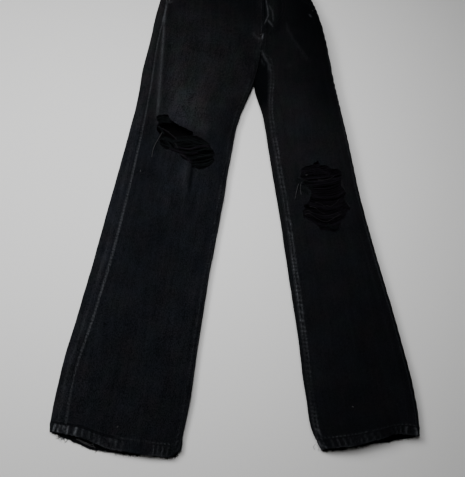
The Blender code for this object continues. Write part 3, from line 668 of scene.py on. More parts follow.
def inseam_look(side, level, front, at, drift, patchy, seed):
    """The height and the wear of the felled inseam."""
    edge = at["edge"]
    rise_seam = (side == "left") & at["over"] & (level < FLY_END)
    felled = np.where(at["below"] | rise_seam, 1.0, 0.0)
    band = felled * front * (1 - smoothstep(FELL_WIDTH, FELL_WIDTH + 0.0016, edge))
    rows = sum(bell(edge - row, 0.0008) for row in SEAM_ROWS)
    pucker = wave(level / 0.0108 + 0.55 * drift + edge / 0.030)
    ladder = wave(level / STITCH_MARK + 0.3 * drift)
    draw = by_side(side, 0.30, 1.0) * felled * bell(edge - FELL_MIDDLE, 0.0090)
    height = 0.0009 * band - 0.0004 * rows * felled + (0.00042 * pucker + 0.00020 * ladder) * draw
    # Two rubbed lines beside the stitches, broken into dashes, and rungs between them
    low_down = smoothstep(0.30, 0.12, level) if side == "left" else 0.0
    wander = 0.0005 * hills(edge * 0, level, 1.0, 0.011, seed + 5)
    beside = (1 - 0.6 * low_down) * bell(edge - 0.0024 + wander, 0.0009)
    beside += bell(edge - 0.0080 + wander, 0.0010 - 0.0002 * low_down)
    skewed = level / STITCH_MARK + 0.5 * drift + 0.35 * bell(edge - SEAM_ROWS[1], 0.003)
    dashes = unit(0.35 + 0.65 * wave(skewed))
    rungs = unit(0.15 + 0.85 * wave(level / 0.0086 + 1.6 * drift + edge / 0.020))
    on_band = felled * np.exp(-(((edge - FELL_MIDDLE) / 0.0048) ** 4))
    rubbed = 0.85 * beside * (0.25 + 0.75 * dashes) + on_band * (0.02 + 0.44 * rungs)
    rubbed *= 0.35 + 1.3 * unit(0.5 + 0.6 * hills(edge, level, 0.004, 0.013, seed + 6))
    # A pale line along the folded edge: wear, and on the wearer's right also a painted highlight along the
    # ridge.
    rubbed += felled * by_side(side, 0.9, 0.25) * bell(edge - 0.0004, 0.0012)
    rubbed *= 0.45 + 0.9 * patchy**1.5
    right_wear = 0.16 * (1 - 0.75 * smoothstep(0.74, 0.80, level))
    return height, rubbed * by_side(side, right_wear, np.interp(level, LADDER["level"], LADDER["wear"]))


print("the inseam is stitched", SEAM_ROWS, "from its fold")

# %% Outseam and fly
def outseam_look(side, level, at, drift, patchy):
    """The height, the wear and the painted shade beside the groove of the open outseam."""
    off = np.abs(at["side_seam"])
    beads = wave(level / 0.0064 + 0.4 * drift)
    pull = wave(level / 0.0210 + 0.7 * drift + at["side_seam"] / 0.03)
    height = -0.0008 * bell(off, 0.0008) + 0.0006 * bell(off - 0.0022, 0.0014)
    height += 0.00022 * bell(off - 0.0145, 0.0025)
    height += 0.00022 * beads * bell(off, 0.0028) + 0.0005 * pull * bell(off, 0.0075)
    rubbed = (0.62 + 0.32 * beads) * bell(at["side_seam"] - 0.0004, 0.0013) * (0.62 + 0.60 * patchy)
    outside = np.where(at["side_seam"] < 0, 1.0, 0.3)
    lower_half = 0.35 + 0.65 * smoothstep(0.55, 0.25, level)
    rubbed += 0.24 * outside * lower_half * patchy * bell(off - ALLOWANCE, 0.0024)
    rubbed *= by_side(side, 0.46, 0.20) * (1 + 0.5 * bell(level - 0.28, 0.16))
    # The third value is painted shade along the shaded side of the groove.
    return height, rubbed, 0.55 * by_side(side, 1.0, 0.4) * bell(at["side_seam"] + 0.0030, 0.0014)


def fly_relief(side, level, at):
    """The left front's edge is folded under as far as the J of stitches, and the right one dips below it."""
    above = ~at["below"] & at["over"]
    if side == "right":
        return -0.0008 * above * bell(at["edge"], 0.0035)
    return 0.0012 * above * (1 - smoothstep(-0.0010, 0.0006, at["edge"] - fly_width(level)))


print("the outseam is pressed open by", ALLOWANCE)

# %% Hem
def hem_look(side, row, at, seed):
    """The height, the wear and the painted shade of the hem. row is the height above its edge on flat cloth.
    """
    grain, from_outer = at["grain"], np.abs(at["outer"])
    slant = by_side(side, 9.0, -24.0)
    rope = wave(grain / 0.0105 + slant * row + 0.9 * hills(grain, row, 0.026, 0.05, seed + 2))
    roped = smoothstep(0, 0.004, row) * (1 - smoothstep(0.0150, 0.0180, row))
    height = 0.0006 * (1 - smoothstep(0.0204, 0.0226, row))
    height += 0.0008 * rope * roped - 0.0005 * bell(row - HEM_STITCH, 0.0009)
    # The rope is rubbed most near the outer edge, and elsewhere in spots.
    spots = unit(0.15 + hills(grain, row, 0.016, 0.05, seed + 4))
    rubbed_part = by_side(side, 1.0, 0.45) * bell(from_outer, by_side(side, 0.050, 0.028)) + 0.24 * spots
    rubbed = (0.04 + 0.96 * unit(rope) ** 2.0) * roped * rubbed_part
    inner_half = smoothstep(0.115, 0.135, from_outer) if side == "right" else 1.0
    dashed = unit(0.4 + wave(grain / STITCH_MARK)) * (0.45 + 0.9 * spots) * inner_half
    rubbed += 0.30 * dashed * bell(row - 0.0203, 0.0012) + 0.20 * spots * bell(row, 0.0018)
    # The row of stitches sinks into the cloth where the hem has turned over it. Its shade there and in the
    # troughs of the rope is painted, and returned as the third value.
    sunk = bell(row - HEM_STITCH, 0.0018) * by_side(side, 1 - inner_half, 0.25)
    return height, rubbed, 0.9 * sunk + 0.55 * roped * unit(-rope) * unit(rubbed_part)


def seam_relief(side, level, row, front, at):
    """The relief of the seams and the hem, how rubbed they are and where shade is painted on them."""
    seed = by_side(side, 31, 41)
    drift = hills(at["grain"] * 0, level, 1.0, 0.045, seed)
    patchy = 0.5 + 0.5 * hills(at["grain"], level, 0.03, 0.060, seed + 1)
    inseam, rubbed_in = inseam_look(side, level, front, at, drift, patchy, seed)
    outseam, rubbed_out, groove = outseam_look(side, level, at, drift, patchy)
    hem, rubbed_hem, shaded = hem_look(side, row, at, seed)
    rubbed_fold = 0.07 * bell(at["outer"] - 0.001, 0.0030) * patchy
    height = inseam + outseam + fly_relief(side, level, at) + hem
    return height, rubbed_in + rubbed_out + rubbed_hem + rubbed_fold, unit(groove + shaded)


# %% Dressing the cloth
def fade_of(side, level, at, x, y):
    """How washed the cloth is, made darker by painted shade beside the crotch and on a few creases."""
    fade = smooth(FADES["level"], FADES[side], level)
    for middle_x, middle_y, across, along, paler in WASH_AND_PAINTED_SHADE_PATCHES:
        fade = fade + paler * bell(np.hypot((x - middle_x) / across, (y - middle_y) / along), 1.0)
    strip = (1 - smoothstep(-0.004, 0.001, at["side_seam"])) * at["over"]
    # The cloth that rolls under beside the crotch is made darker: painted shade, for the shadow it lies in
    # under the front.
    crotch_painted_shade = smoothstep(0.66, 0.74, level) * (1 - smoothstep(-0.002, 0.001, at["edge"])) * at["below"]
    return np.clip(fade + by_side(side, 0.10, 0.02) * strip - by_side(side, 0.25, 0.34) * crotch_painted_shade, 0.03, 1)


def dress(side, level, g, row, front=1.0, seams=1.0):
    """The outer skin of the cloth at each place: its point, the direction out of it, its map and its wear."""
    level, g = np.asarray(level, dtype=float), np.asarray(g, dtype=float)
    at = places_on(side, level, g)
    point, normal = surface(side, level, g)
    height, worn, dark = seam_relief(side, level, row, front, at)
    point = point + (seams * height + soft_relief(side, level, g, at))[:, None] * normal
    under = g > 1 + 0.5 * CORNER
    point[:, 2] = np.maximum(point[:, 2], np.where(under, floor_of(level), 0.0001))
    x, y = point[:, 0], point[:, 1]
    # worn takes the rubbed lines and the highlights painted on the lit side of a few creases.
    worn = seams * worn + crease_height(WEAR_AND_PAINTED_HIGHLIGHT_LINES, x, y) * at["over"]
    # dark is painted shade: the grooves and hem troughs from seam_relief and the painted shade lines, which
    # darken the wash and the wear.
    dark = seams * dark + crease_height(PAINTED_SHADE_LINES, x, y) * at["over"]
    return {
        "point": point,
        "normal": normal,
        "grain": np.column_stack((at["grain"] + by_side(side, 0.0, 1.0), level)),
        "fade": fade_of(side, level, at, x, y) * (1 - np.clip(dark, 0, 0.95)),
        "wear": unit(worn * (1 - np.clip(dark, 0, 0.9))),
        "blue": smooth(BLUES["level"], BLUES[side], level),
    }


worn_shin = dress("right", shin, [0.5], np.ones(1))
print("the right shin's wash is", worn_shin["fade"].round(3), "and its wear", worn_shin["wear"].round(3))

# %% [markdown]
# ## Making a panel
# A panel starts as a flat grid whose corners are whole numbers. Torn holes are cut in that grid, extruding it
# gives the cloth its second skin and its rim, and only then is every corner moved to its place. Cutting and
# extruding a flat grid always works, and the two skins can't cross.

# %% Panel helpers
FOLDED = 0.002  # Cloth thicker than this is folded over.


def flat_grid(columns, rows):
    """A flat grid whose corners lie at whole numbers, from 0, 0 to columns, rows."""
    mesh = bmesh.new()
    bmesh.ops.create_grid(mesh, x_segments=columns, y_segments=rows, size=0.5)
    for vert in mesh.verts:
        vert.co = Vector((round((vert.co.x + 0.5) * columns), round((vert.co.y + 0.5) * rows), 0))
    return mesh


def finish_object(name, mesh, material):
    """Turns a bmesh into an object whose faces point out."""
    bmesh.ops.recalc_face_normals(mesh, faces=mesh.faces)
    if mesh.calc_volume(signed=True) < 0:
        bmesh.ops.reverse_faces(mesh, faces=mesh.faces)
    data = bpy.data.meshes.new(name)
    mesh.to_mesh(data)
    mesh.free()
    data.materials.append(material)
    obj = bpy.data.objects.new(name, data)
    bpy.context.scene.collection.objects.link(obj)
    return obj


def sew(name, mesh, mapping, wall=WALL, material=denim):
    """Gives a flat grid its second skin and moves both on to the jeans: mapping dresses the outer one."""
    skin = bmesh.ops.extrude_face_region(mesh, geom=mesh.faces[:], use_keep_orig=True)
    for part in skin["geom"]:
        if isinstance(part, bmesh.types.BMVert):
            part.co.z = 1
    places = np.array([vert.co for vert in mesh.verts])
    cloth = mapping(places[:, 0], places[:, 1])
    inside = places[:, 2] < 0.5
    depth = np.where(inside, cloth.get("wall", wall), 0)
    points = cloth["point"] - depth[:, None] * cloth["normal"]
    for vert, point in zip(mesh.verts, points):
        vert.co = Vector(point)
    obj = finish_object(name, mesh, material)
    data = obj.data
    corners = np.empty(len(data.loops), dtype=np.int32)
    data.loops.foreach_get("vertex_index", corners)
    grain = data.uv_layers.new(name="grain")
    grain.data.foreach_set("uv", cloth["grain"][corners].astype(np.float32).ravel())
    # Where cloth is folded over, its worn outer face shows inside too.
    folded = inside & (depth > FOLDED)
    looks = {
        "fade": cloth["fade"],
        "blue": cloth["blue"],
        "wear": cloth["wear"] * np.where(inside, 0.8 * folded, 1.0),
        "inside": np.where(folded, 0.55, 1.0) * inside,
    }
    for look, values in looks.items():
        data.attributes.new(look, "FLOAT", "POINT").data.foreach_set("value", values.astype(np.float32))
    data.shade_smooth()
    data.set_sharp_from_angle(angle=np.radians(55))
    data.calc_loop_triangles()
    print(name, len(data.loop_triangles), "triangles")
    return obj


def stops(*stretches):
    """Column places from stretches of (end, number of columns), starting at 0."""
    row = [np.zeros(1)]
    for end, count in stretches:
        row.append(np.linspace(row[-1][-1], end, count + 1)[1:])
    return np.concatenate(row)


def read(places, at):
    """The place of column or row number `at`, also between two of them."""
    return np.interp(at, np.arange(len(places)), places)


LEVELS = stops((0.024, 20), (FORK, 306), (CROTCH, 26), (WAIST_SEAM, 88))
FRONT_SHARES = stops((0.062, 10), (0.955, 76), (1.0, 8))
FORK_ROW = int(np.argmin(abs(LEVELS - FORK)))
CROTCH_ROW = int(np.argmin(abs(LEVELS - CROTCH)))
print("panel grid", len(FRONT_SHARES) - 1, "by", len(LEVELS) - 1)

# %% Hem and pocket edges
# How far each layer's edge lies above the flat hem, by its share of the way across from the inseam
HEM_EDGES = {
    "right": """
    0 -4.5 -8.5, 80 -4 -7, 150 4 4, 300 7.8 10.4, 420 9 13.8, 540 10.4 16, 640 10.4 16.6, 740 6 10.4,
    810 1 4, 920 -0.8 -0.6, 1000 0 0
    """,
    "left": """
    0 0 0, 100 0 3.5, 250 1 5.5, 360 1 4, 500 0 3, 600 -4 3.5, 710 -9 3, 840 -7 1, 1000 0 0
    """,
}
HEMS = {side: columns_of(text, "across front back") for side, text in HEM_EDGES.items()}
HEM_FADE = 0.10
SCOOP_WIDTH = {"right": 0.096, "left": 0.051}
SCOOP_BEND = 1.8


def panel_wall(row):
    """One layer of denim, and three where the hem is turned up."""
    return WALL + (HEM_WALL - WALL) * (1 - smoothstep(HEM_TOP - 0.0012, HEM_TOP, row))


def hang(side, layer, across, level):
    """Moves the rows near the hem, so that the edge follows its table. across is 0 at the inseam."""
    across = unit(across) + 0 * level
    drop = smooth(HEMS[side]["across"], HEMS[side][layer], across)
    teeth = 0.0012 * hills(across, 0 * level, 0.017, 1.0, 51) * smoothstep(0.004, 0, level)
    return level - drop * unit(1 - level / HEM_FADE) + teeth * smoothstep(0.02, 0.06, across)


def stretch(level, bottom, top):
    """Moves the levels above the crotch so that the last one lies at top."""
    share = unit((level - bottom) / (WAIST_SEAM - bottom))
    return np.where(level > bottom, bottom + share * (top - bottom), level)


def inseam_g(side, level, shift):
    """The front's folded edge along the inseam, which becomes the centre front above the crotch."""
    s = section(side, level)
    return g_at(side, level, np.where(level <= CROTCH + TINY, s["inseam"] - lap_of(s), 0) + shift)


def outseam_g(side, level, shift=0.0):
    s = section(side, level)
    return g_at(side, level, s["width"] - s["outseam"] + shift)


def front_g(side, level, u):
    """Spreads the front's columns from the inseam, or the centre front, to the outseam."""
    first = inseam_g(side, level, GAP / 2)
    return first + u * (outseam_g(side, level, -GAP / 2) - first)


def scoop_drop(side, u):
    """How far the front's top edge drops in the pocket opening, which is deepest at the outseam."""
    top = np.full_like(u, WAIST_SEAM)
    s = section(side, top)
    from_seam = s["width"] * (1 - across_front(s, front_g(side, top, u))) - s["outseam"]
    return (WAIST_SEAM - POCKET_CORNER) * (1 - unit(from_seam / SCOOP_WIDTH[side]) ** SCOOP_BEND)


print("pocket openings", {side: round(float(scoop_drop(side, np.ones(1))[0]), 3) for side in SIDES}, "deep")

# %% [markdown]
# ## The torn knees
# Each rip is an outline on the cloth. Its edge is ragged, because the warp broke thread by thread, so the
# outline's straight runs are divided and pushed about before the faces inside it are cut away. The corners
# left along the cut then slide on to the ragged line.

# %% Rips
RIPS = {
    "right": """
    -162.4 126.2, -156.1 128.6, -139.2 129.8, -134.6 120.2, -128.1 113.1, -121.6 108.4, -113 102.5,
    -102.4 97.8, -91.7 90.7, -85.4 88.4, -85.2 80.2, -74.7 77.9, -66.2 73.3, -50.4 62.8, -49.3 55.9,
    -42.7 47, -38.3 37.2, -44.2 32.5, -40.2 26.8, -41.4 19.1, -49.7 12.4, -61.1 5.9, -71.3 3.7, -81.7 7,
    -85.7 5.9, -87 14.9, -94.3 21.7, -102.7 26.2, -109 31.9, -113.4 39.9, -121.8 42.2, -132.3 47.9,
    -140.7 49, -149.2 54.8, -153.6 62.8, -154.4 83.7, -161.1 93.1, -161.4 102.5, -157.5 109.6, -162.1 119
    """,
    "left": """
    136.8 -3.3, 144 0, 158.3 3.4, 162.5 8.9, 167.7 11.1, 170 20, 171.7 10, 174.5 3.4, 182.6 4.5, 190.6 2.3,
    196.4 -3.3, 210.5 -3.3, 216.3 -7.7, 217.9 -14.3, 215.4 -23, 216.5 -40.4, 221.1 -46.9, 223.7 -53.3,
    223.3 -59.8, 219 -66.2, 220.6 -72.6, 230.9 -83.2, 231.5 -89.6, 223.3 -93.8, 220.7 -104.3, 210.2 -116.8,
    209.9 -123, 205.5 -131.3, 199.3 -137.5, 185.8 -134.4, 172.2 -133.4, 166.6 -127.2, 153.4 -115.7,
    138 -107.4, 137.5 -93.8, 140.7 -87.4, 138 -81.1, 149.1 -75.8, 151.4 -68.3, 154.8 -57.6, 154.1 -49,
    144.4 -41.5, 134.6 -38.2, 140.8 -31.7, 139 -25.2, 132.1 -21.9, 134.4 -14.3
    """,
}


print("corners of the rips", {side: len(table(text, 2)) for side, text in RIPS.items()})

# %% Torn edges
def ragged(corners, step, jitter, seed):
    """An outline with its runs divided and each new corner pushed in or out."""
    random = np.random.default_rng(seed)
    points = []
    for start, end in zip(corners, np.roll(corners, -1, axis=0)):
        run = end - start
        count = max(1, round(np.hypot(*run) / step))
        out = np.array((run[1], -run[0])) / np.hypot(*run)
        for share in np.arange(count) / count:
            points.append(start + share * run + out * jitter * random.uniform(-1, 1))
    return np.array(points)


EDGES = {side: ragged(table(text, 2), 0.0026, 0.0009, 5) for side, text in RIPS.items()}


def within(outline, x, y):
    """Which points lie inside a closed outline."""
    inside = np.zeros(x.shape, dtype=bool)
    for start, end in zip(outline, np.roll(outline, -1, axis=0)):
        crosses = (start[1] > y) != (end[1] > y)
        level = np.where(crosses, (y - start[1]) / (end[1] - start[1] + 1e-12), 0)
        inside ^= crosses & (x < start[0] + level * (end[0] - start[0]))
    return inside


def nearest(outline, x, y):
    """The nearest point of an outline to each point."""
    start, run = outline, np.roll(outline, -1, axis=0) - outline
    from_x, from_y = x[:, None] - start[:, 0], y[:, None] - start[:, 1]
    share = unit((from_x * run[:, 0] + from_y * run[:, 1]) / (run**2).sum(-1))
    near_x, near_y = start[:, 0] + share * run[:, 0], start[:, 1] + share * run[:, 1]
    best = np.hypot(x[:, None] - near_x, y[:, None] - near_y).argmin(-1)
    pick = np.arange(len(x))
    return near_x[pick, best], near_y[pick, best]


print("torn edges", {side: len(edge) for side, edge in EDGES.items()})

# %% Lips of the rips
def lips(side, cloth):
    """Curls the cloth beside a rip up or down a little, and rubs its edge."""
    x, y = cloth["point"][:, 0], cloth["point"][:, 1]
    middle_x, middle_y = EDGES[side].mean(0)
    near = (np.abs(x - middle_x) < 0.09) & (np.abs(y - middle_y) < 0.11)
    x, y = x[near], y[near]
    near_x, near_y = nearest(EDGES[side], x, y)
    distance = np.hypot(x - near_x, y - near_y)
    curl = 0.0010 + 0.0016 * hills(x, y, 0.016, 0.016, 61)
    rub = 0.07 * bell(distance, 0.0016) * unit(hills(x, y, 0.01, 0.01, 62))
    cloth["point"][near, 2] += curl * bell(distance, 0.0055)
    cloth["wear"][near] += rub


# %% Fronts
def front_spread(side, u, row):
    """Level and place round the sleeve of a point on the front: u is 0 at the inseam and 1 at the outseam."""
    level = hang(side, "front", u, row)
    level = stretch(level, CROTCH, WAIST_SEAM - GAP - scoop_drop(side, u))
    return level, front_g(side, level, u)


def make_front(side):
    columns, rows = len(FRONT_SHARES) - 1, len(LEVELS) - 1
    mesh = flat_grid(columns, rows)
    centres = np.array([face.calc_center_median() for face in mesh.faces])
    level, g = front_spread(side, read(FRONT_SHARES, centres[:, 0]), read(LEVELS, centres[:, 1]))
    middle = front_point(section(side, level), level, g)
    torn_away = within(EDGES[side], middle[:, 0], middle[:, 1])
    bmesh.ops.delete(mesh, geom=[f for f, torn in zip(mesh.faces, torn_away) if torn], context="FACES")
    on_edge = np.zeros((columns + 1, rows + 1), dtype=bool)
    for vert in mesh.verts:
        if vert.is_boundary and 0 < vert.co.x < columns and 0 < vert.co.y < rows:
            on_edge[round(vert.co.x), round(vert.co.y)] = True

    def mapping(i, j):
        row = read(LEVELS, j)
        level, g = front_spread(side, read(FRONT_SHARES, i), row)
        cloth = dress(side, level, g, row)
        lips(side, cloth)
        slide = on_edge[i.astype(int), j.astype(int)]
        torn = cloth["point"][slide]
        cloth["point"][slide, 0], cloth["point"][slide, 1] = nearest(EDGES[side], torn[:, 0], torn[:, 1])
        cloth["wall"] = panel_wall(row)
        return cloth

    return sew(f"denim_front_{side}", mesh, mapping)


fronts = {side: make_front(side) for side in SIDES}

# %% [markdown]
# ## Backs
# A back starts on top at the outseam, goes round the outer edge and underneath, and comes up again at the
# inseam. Above the fork the sleeve is open underneath, because the two halves share the seat seam, so the
# strip that comes up beside the crotch parts from the rest along a slit and narrows to a point.

# %% Backs
TOP_SHARE = 3 / 14
BACK_SHARES = stops((TOP_SHARE, 15), (0.42, 14), (0.90, 22), (1.0, 10))
UNDER_COLUMNS = len(BACK_SHARES) - 1
STRIP_COLUMNS = 9
YOKE_AT_SIDE = 1.006
YOKE_AT_CENTRE = 0.982


def chosen(pick, first, second):
    """The first cloth where pick is true, and the second elsewhere."""
    return {
        name: np.where(pick if values.ndim == 1 else pick[:, None], values, second[name])
        for name, values in first.items()
    }


def yoke_level(u):
    """The yoke seam across the back, from the outseam to the centre."""
    return YOKE_AT_SIDE + (YOKE_AT_CENTRE - YOKE_AT_SIDE) * unit(u)


def seat_gap(side, level):
    """Half a seam gap beside the seat seam, as a share of the ring."""
    return 2 - g_under(side, level, GAP / 2)


def back_g(side, level, u, end_gap):
    """Spreads the back's columns from the outseam, round the outer edge, to the inner end underneath."""
    first = outseam_g(side, level, GAP / 2)
    under = 1 + (u - TOP_SHARE) / (1 - TOP_SHARE) * (1 - end_gap)
    return np.where(u < TOP_SHARE, first + u / TOP_SHARE * (1 - first), under)


def back_spread(side, u, row):
    """Level and place round the sleeve of a point on the back: u is 0 at the outseam."""
    from_inseam = (1 - u) / (1 - TOP_SHARE)
    level = stretch(hang(side, "back", from_inseam, row), CROTCH, yoke_level(u) - GAP)
    return level, back_g(side, level, u, np.where(level > FORK + TINY, seat_gap(side, level), 0))


def cut_slit(mesh):
    """Cuts the back's grid down to its strip above the crotch, and parts the strip from the rest."""
    centres = [(face, face.calc_center_median()) for face in mesh.faces]
    gone = [face for face, centre in centres if centre.x > UNDER_COLUMNS and centre.y > CROTCH_ROW]
    bmesh.ops.delete(mesh, geom=gone, context="FACES")
    slit = [
        edge for edge in mesh.edges
        if all(vert.co.x == UNDER_COLUMNS for vert in edge.verts)
        and FORK_ROW <= min(vert.co.y for vert in edge.verts) < CROTCH_ROW
    ]
    bmesh.ops.split_edges(mesh, edges=slit)
    # The strip's side of the slit is marked, so that the mapping can tell the two sides apart.
    for face in mesh.faces:
        if face.calc_center_median().x > UNDER_COLUMNS:
            for vert in face.verts:
                if vert.co.x == UNDER_COLUMNS and vert.co.y > FORK_ROW:
                    vert.co.x += 0.25


def make_back(side):
    mesh = flat_grid(UNDER_COLUMNS + STRIP_COLUMNS, len(LEVELS) - 1)
    cut_slit(mesh)

    def mapping(i, j):
        row = read(LEVELS, j)
        level, g = back_spread(side, read(BACK_SHARES, np.clip(i, 0, UNDER_COLUMNS)), row)
        under = dress(side, level, g, row, front=0.0)
        level = np.minimum(hang(side, "back", 0, row), CROTCH)
        start = np.where(level > FORK + TINY, g_at(side, level, GAP / 2), 0)
        along_strip = unit((np.floor(i + TINY) - UNDER_COLUMNS) / STRIP_COLUMNS)
        g = start + along_strip * (inseam_g(side, level, -GAP / 2) - start)
        cloth = chosen(i > UNDER_COLUMNS, dress(side, level, g, row, front=0.0), under)
        cloth["wall"] = panel_wall(row)
        return cloth

    return sew(f"denim_back_{side}", mesh, mapping)


backs = {side: make_back(side) for side in SIDES}

# %% [markdown]
# ## Yokes, pockets and the hip pieces behind the pocket openings
# These are small rectangles of the same cloth. Each is mapped on to the sleeve like the panels, the hip
# pieces one layer behind the front and the back pockets one layer outside the back.

# %% Yokes, facings and back pockets
SCOOP_UNDERLAP = 0.012
FACING_DEPTH = LAYER + GAP
POCKET = {"from_centre": 0.017, "width": 0.116, "top": 0.962, "height": 0.135, "point": 0.020, "taper": 0.12}


def patch(name, columns, rows, mapping, wall=WALL, material=denim):
    """A rectangular piece of cloth: mapping takes u and v from 0 to 1."""
    return sew(name, flat_grid(columns, rows), lambda i, j: mapping(i / columns, j / rows), wall, material)


def pushed(cloth, depth):
    """The same cloth moved into the garment, or out of it where depth is negative."""
    cloth["point"] = cloth["point"] - depth * cloth["normal"]
    return cloth


def rubbed(cloth, amount):
    """Adds wear to a piece of cloth."""
    cloth["wear"] = unit(cloth["wear"] + amount)
    return cloth


def plain(side, level, g, depth=0.0):
    """Cloth without the relief and the wear of the seams, at a depth below the outer skin."""
    return pushed(dress(side, level, g, level, seams=0.0), depth)


def make_yoke(side):
    def mapping(u, v):
        low = yoke_level(u) + GAP
        level = low + v * (WAIST_SEAM - GAP - low)
        cloth = dress(side, level, back_g(side, level, u, seat_gap(side, level)), level, front=0.0)
        low_edge = level - yoke_level(u)
        return rubbed(cloth, 0.20 * bell(low_edge, 0.0020) + 0.10 * bell(low_edge - 0.0095, 0.0020))

    return patch(f"denim_yoke_{side}", 110, 18, mapping)


def make_facing(side):
    """The hip piece that shows in the scooped opening, one layer behind the front."""
    shares = np.linspace(0, 1, 29)
    first = shares[int(np.argmax(scoop_drop(side, shares) > 0)) - 1]

    def mapping(u, v):
        across = first + u * (1 - first)
        low = WAIST_SEAM - scoop_drop(side, across) - 2 * SCOOP_UNDERLAP
        low = np.maximum(low, POCKET_CORNER - SCOOP_UNDERLAP)
        level = low + v * (WAIST_SEAM - GAP - low)
        return plain(side, level, front_g(side, level, across), FACING_DEPTH)

    return patch(f"denim_pocket_facing_{side}", 56, 60, mapping)


def pocket_spread(side, u, v):
    """A place on the back pocket: u runs across it, and v up from its pointed end."""
    point = POCKET["point"] * (1 - abs(2 * u - 1)) * (1 - v)
    level = POCKET["top"] - POCKET["height"] * (1 - v) - point
    from_end = POCKET["from_centre"] + POCKET["width"] * (0.5 + (u - 0.5) * (1 - POCKET["taper"] * (1 - v)))
    return level, g_under(side, level, from_end)


def make_back_pocket(side):
    def mapping(u, v):
        cloth = plain(side, *pocket_spread(side, u, v), -LAYER)
        rim = np.minimum(np.minimum(u, 1 - u) * POCKET["width"], v * POCKET["height"])
        hem = bell((1 - v) * POCKET["height"] - 0.001, 0.002)
        pucker = 0.5 + 0.5 * wave(v * 14.0) * wave(u * 11.0)
        return rubbed(cloth, (0.10 + 0.20 * pucker) * bell(rim - 0.003, 0.004) + 0.25 * hem)

    return patch(f"denim_back_pocket_{side}", 60, 68, mapping)


yokes = {side: make_yoke(side) for side in SIDES}
facings = {side: make_facing(side) for side in SIDES}
back_pockets = {side: make_back_pocket(side) for side in SIDES}

# %% [markdown]
# ## The fly
# The left front is folded back over a zip. Behind it lie the tape with its two rows of teeth and the slider,
# and behind them the shield. They only show if the jeans are opened, but they are what holds the fly closed.

# %% Zip and shield
FLY_BOTTOM = 0.912
FLY_TOP = WAIST_SEAM - GAP
FLY_UNDER_RIGHT = 0.012
FLY_WIDTH = 0.034
ZIP_EDGE = 0.002
ZIP_WIDTH = 0.026
ZIP_MIDDLE = ZIP_EDGE + ZIP_WIDTH / 2
SLIDER = {"width": 0.009, "length": 0.012, "thickness": 0.0022, "from_top": 0.010}
SLIDER_DEPTH = LAYER + GAP + SLIDER["thickness"]
TAPE_DEPTH = SLIDER_DEPTH + GAP
SHIELD_DEPTH = TAPE_DEPTH + LAYER


def across_centre(distance, level, place):
    """Cloth across the centre line, given by its distance from it, positive to the left."""
    right, left = (plain(side, level, place(side, level, np.abs(distance))) for side in SIDES)
    return chosen(distance >= 0, left, right)


def behind_fly(distance, level, depth):
    cloth = across_centre(distance, level, g_at)
    cloth["grain"] = np.column_stack((distance, level))
    return pushed(cloth, depth)


def fly_layer(name, first, last, columns, depth, material):
    def mapping(u, v):
        return behind_fly(first + u * (last - first), FLY_BOTTOM + v * (FLY_TOP - FLY_BOTTOM), depth)

    return patch(name, columns, 60, mapping, WALL, material)


zip_tape_cloth = fly_layer("zip_tape_weave", ZIP_EDGE, ZIP_EDGE + ZIP_WIDTH, 14, TAPE_DEPTH, tape_cloth)
fly_shield_cloth = fly_layer("denim_fly_shield", -FLY_UNDER_RIGHT, FLY_WIDTH, 24, SHIELD_DEPTH, denim)

# %% Zip teeth and slider
TOOTH = (0.0026, 0.0009, 0.0009)
TOOTH_PITCH = 0.0021
PULL_LIFT = 0.0009
# Width, length and thickness of the slider's body, its bridge and its pull, and how far down each lies
SLIDER_BLOCKS = table("9 12 1.3 0, 3 6 0.7 1, 4.8 10.5 0.7 7", 4)


def block(mesh, size, place, out):
    """Adds a block with softened edges, lying on the cloth at a place and facing out of it."""
    made = bmesh.ops.create_cube(mesh, size=1)["verts"]
    bmesh.ops.scale(mesh, verts=made, vec=size)
    edges = list({edge for vert in made for edge in vert.link_edges})
    bevelled = bmesh.ops.bevel(mesh, geom=edges, offset=0.22 * min(size), affect="EDGES", segments=1,
                               profile=0.5, material=-1)
    made = list({vert for face in bevelled["faces"] for vert in face.verts} | {v for v in made if v.is_valid})
    facing = Vector(out).to_track_quat("Z", "Y").to_matrix()
    bmesh.ops.rotate(mesh, verts=made, cent=(0, 0, 0), matrix=facing)
    bmesh.ops.translate(mesh, verts=made, vec=place)


def make_teeth():
    mesh = bmesh.new()
    levels = np.arange(FLY_BOTTOM + 0.006, FLY_TOP - 0.024, TOOTH_PITCH / 2)
    offsets = np.where(np.arange(len(levels)) % 2, TOOTH[1], -TOOTH[1])
    row = behind_fly(ZIP_MIDDLE + offsets, levels, TAPE_DEPTH - TOOTH[2] / 2)
    for place, out in zip(row["point"], row["normal"]):
        block(mesh, TOOTH, place, out)
    return finish_object("zip_teeth", mesh, metal)


def make_slider():
    mesh = bmesh.new()
    middle = FLY_TOP - SLIDER["from_top"] - SLIDER["length"] / 2
    depth = SLIDER_DEPTH - SLIDER["thickness"] / 2
    spots = behind_fly(np.full(3, ZIP_MIDDLE), middle - SLIDER_BLOCKS[:, 3], depth)
    spots["point"][1:] += PULL_LIFT * spots["normal"][1:]
    for (width, length, thickness, _), place, out in zip(SLIDER_BLOCKS, spots["point"], spots["normal"]):
        block(mesh, (width, length, thickness), place, out)
    return finish_object("zip_slider_and_pull", mesh, metal)


zip_teeth = make_teeth()
slider = make_slider()
print("zip teeth", len(zip_teeth.data.polygons), "faces, slider", len(slider.data.polygons))

# %% [markdown]
# ## Waistband, button and belt loops
# The waistband is one strip that runs from the right end at the centre front round the back to the left end,
# which laps over the right end under the button. The loops cross it.

# %% Waistband
BAND_OVERLAP = 0.034
BAND_MIDDLE = 0.5 * (WAIST_SEAM + WAIST_TOP)
BAND_BOTTOM = WAIST_SEAM + GAP
BAND_ROWS = 16
BAND_COLUMNS = 110  # On each half
LAP_COLUMNS = 9
STEP_COLUMNS = 5  # Where the upper end climbs over the lower one


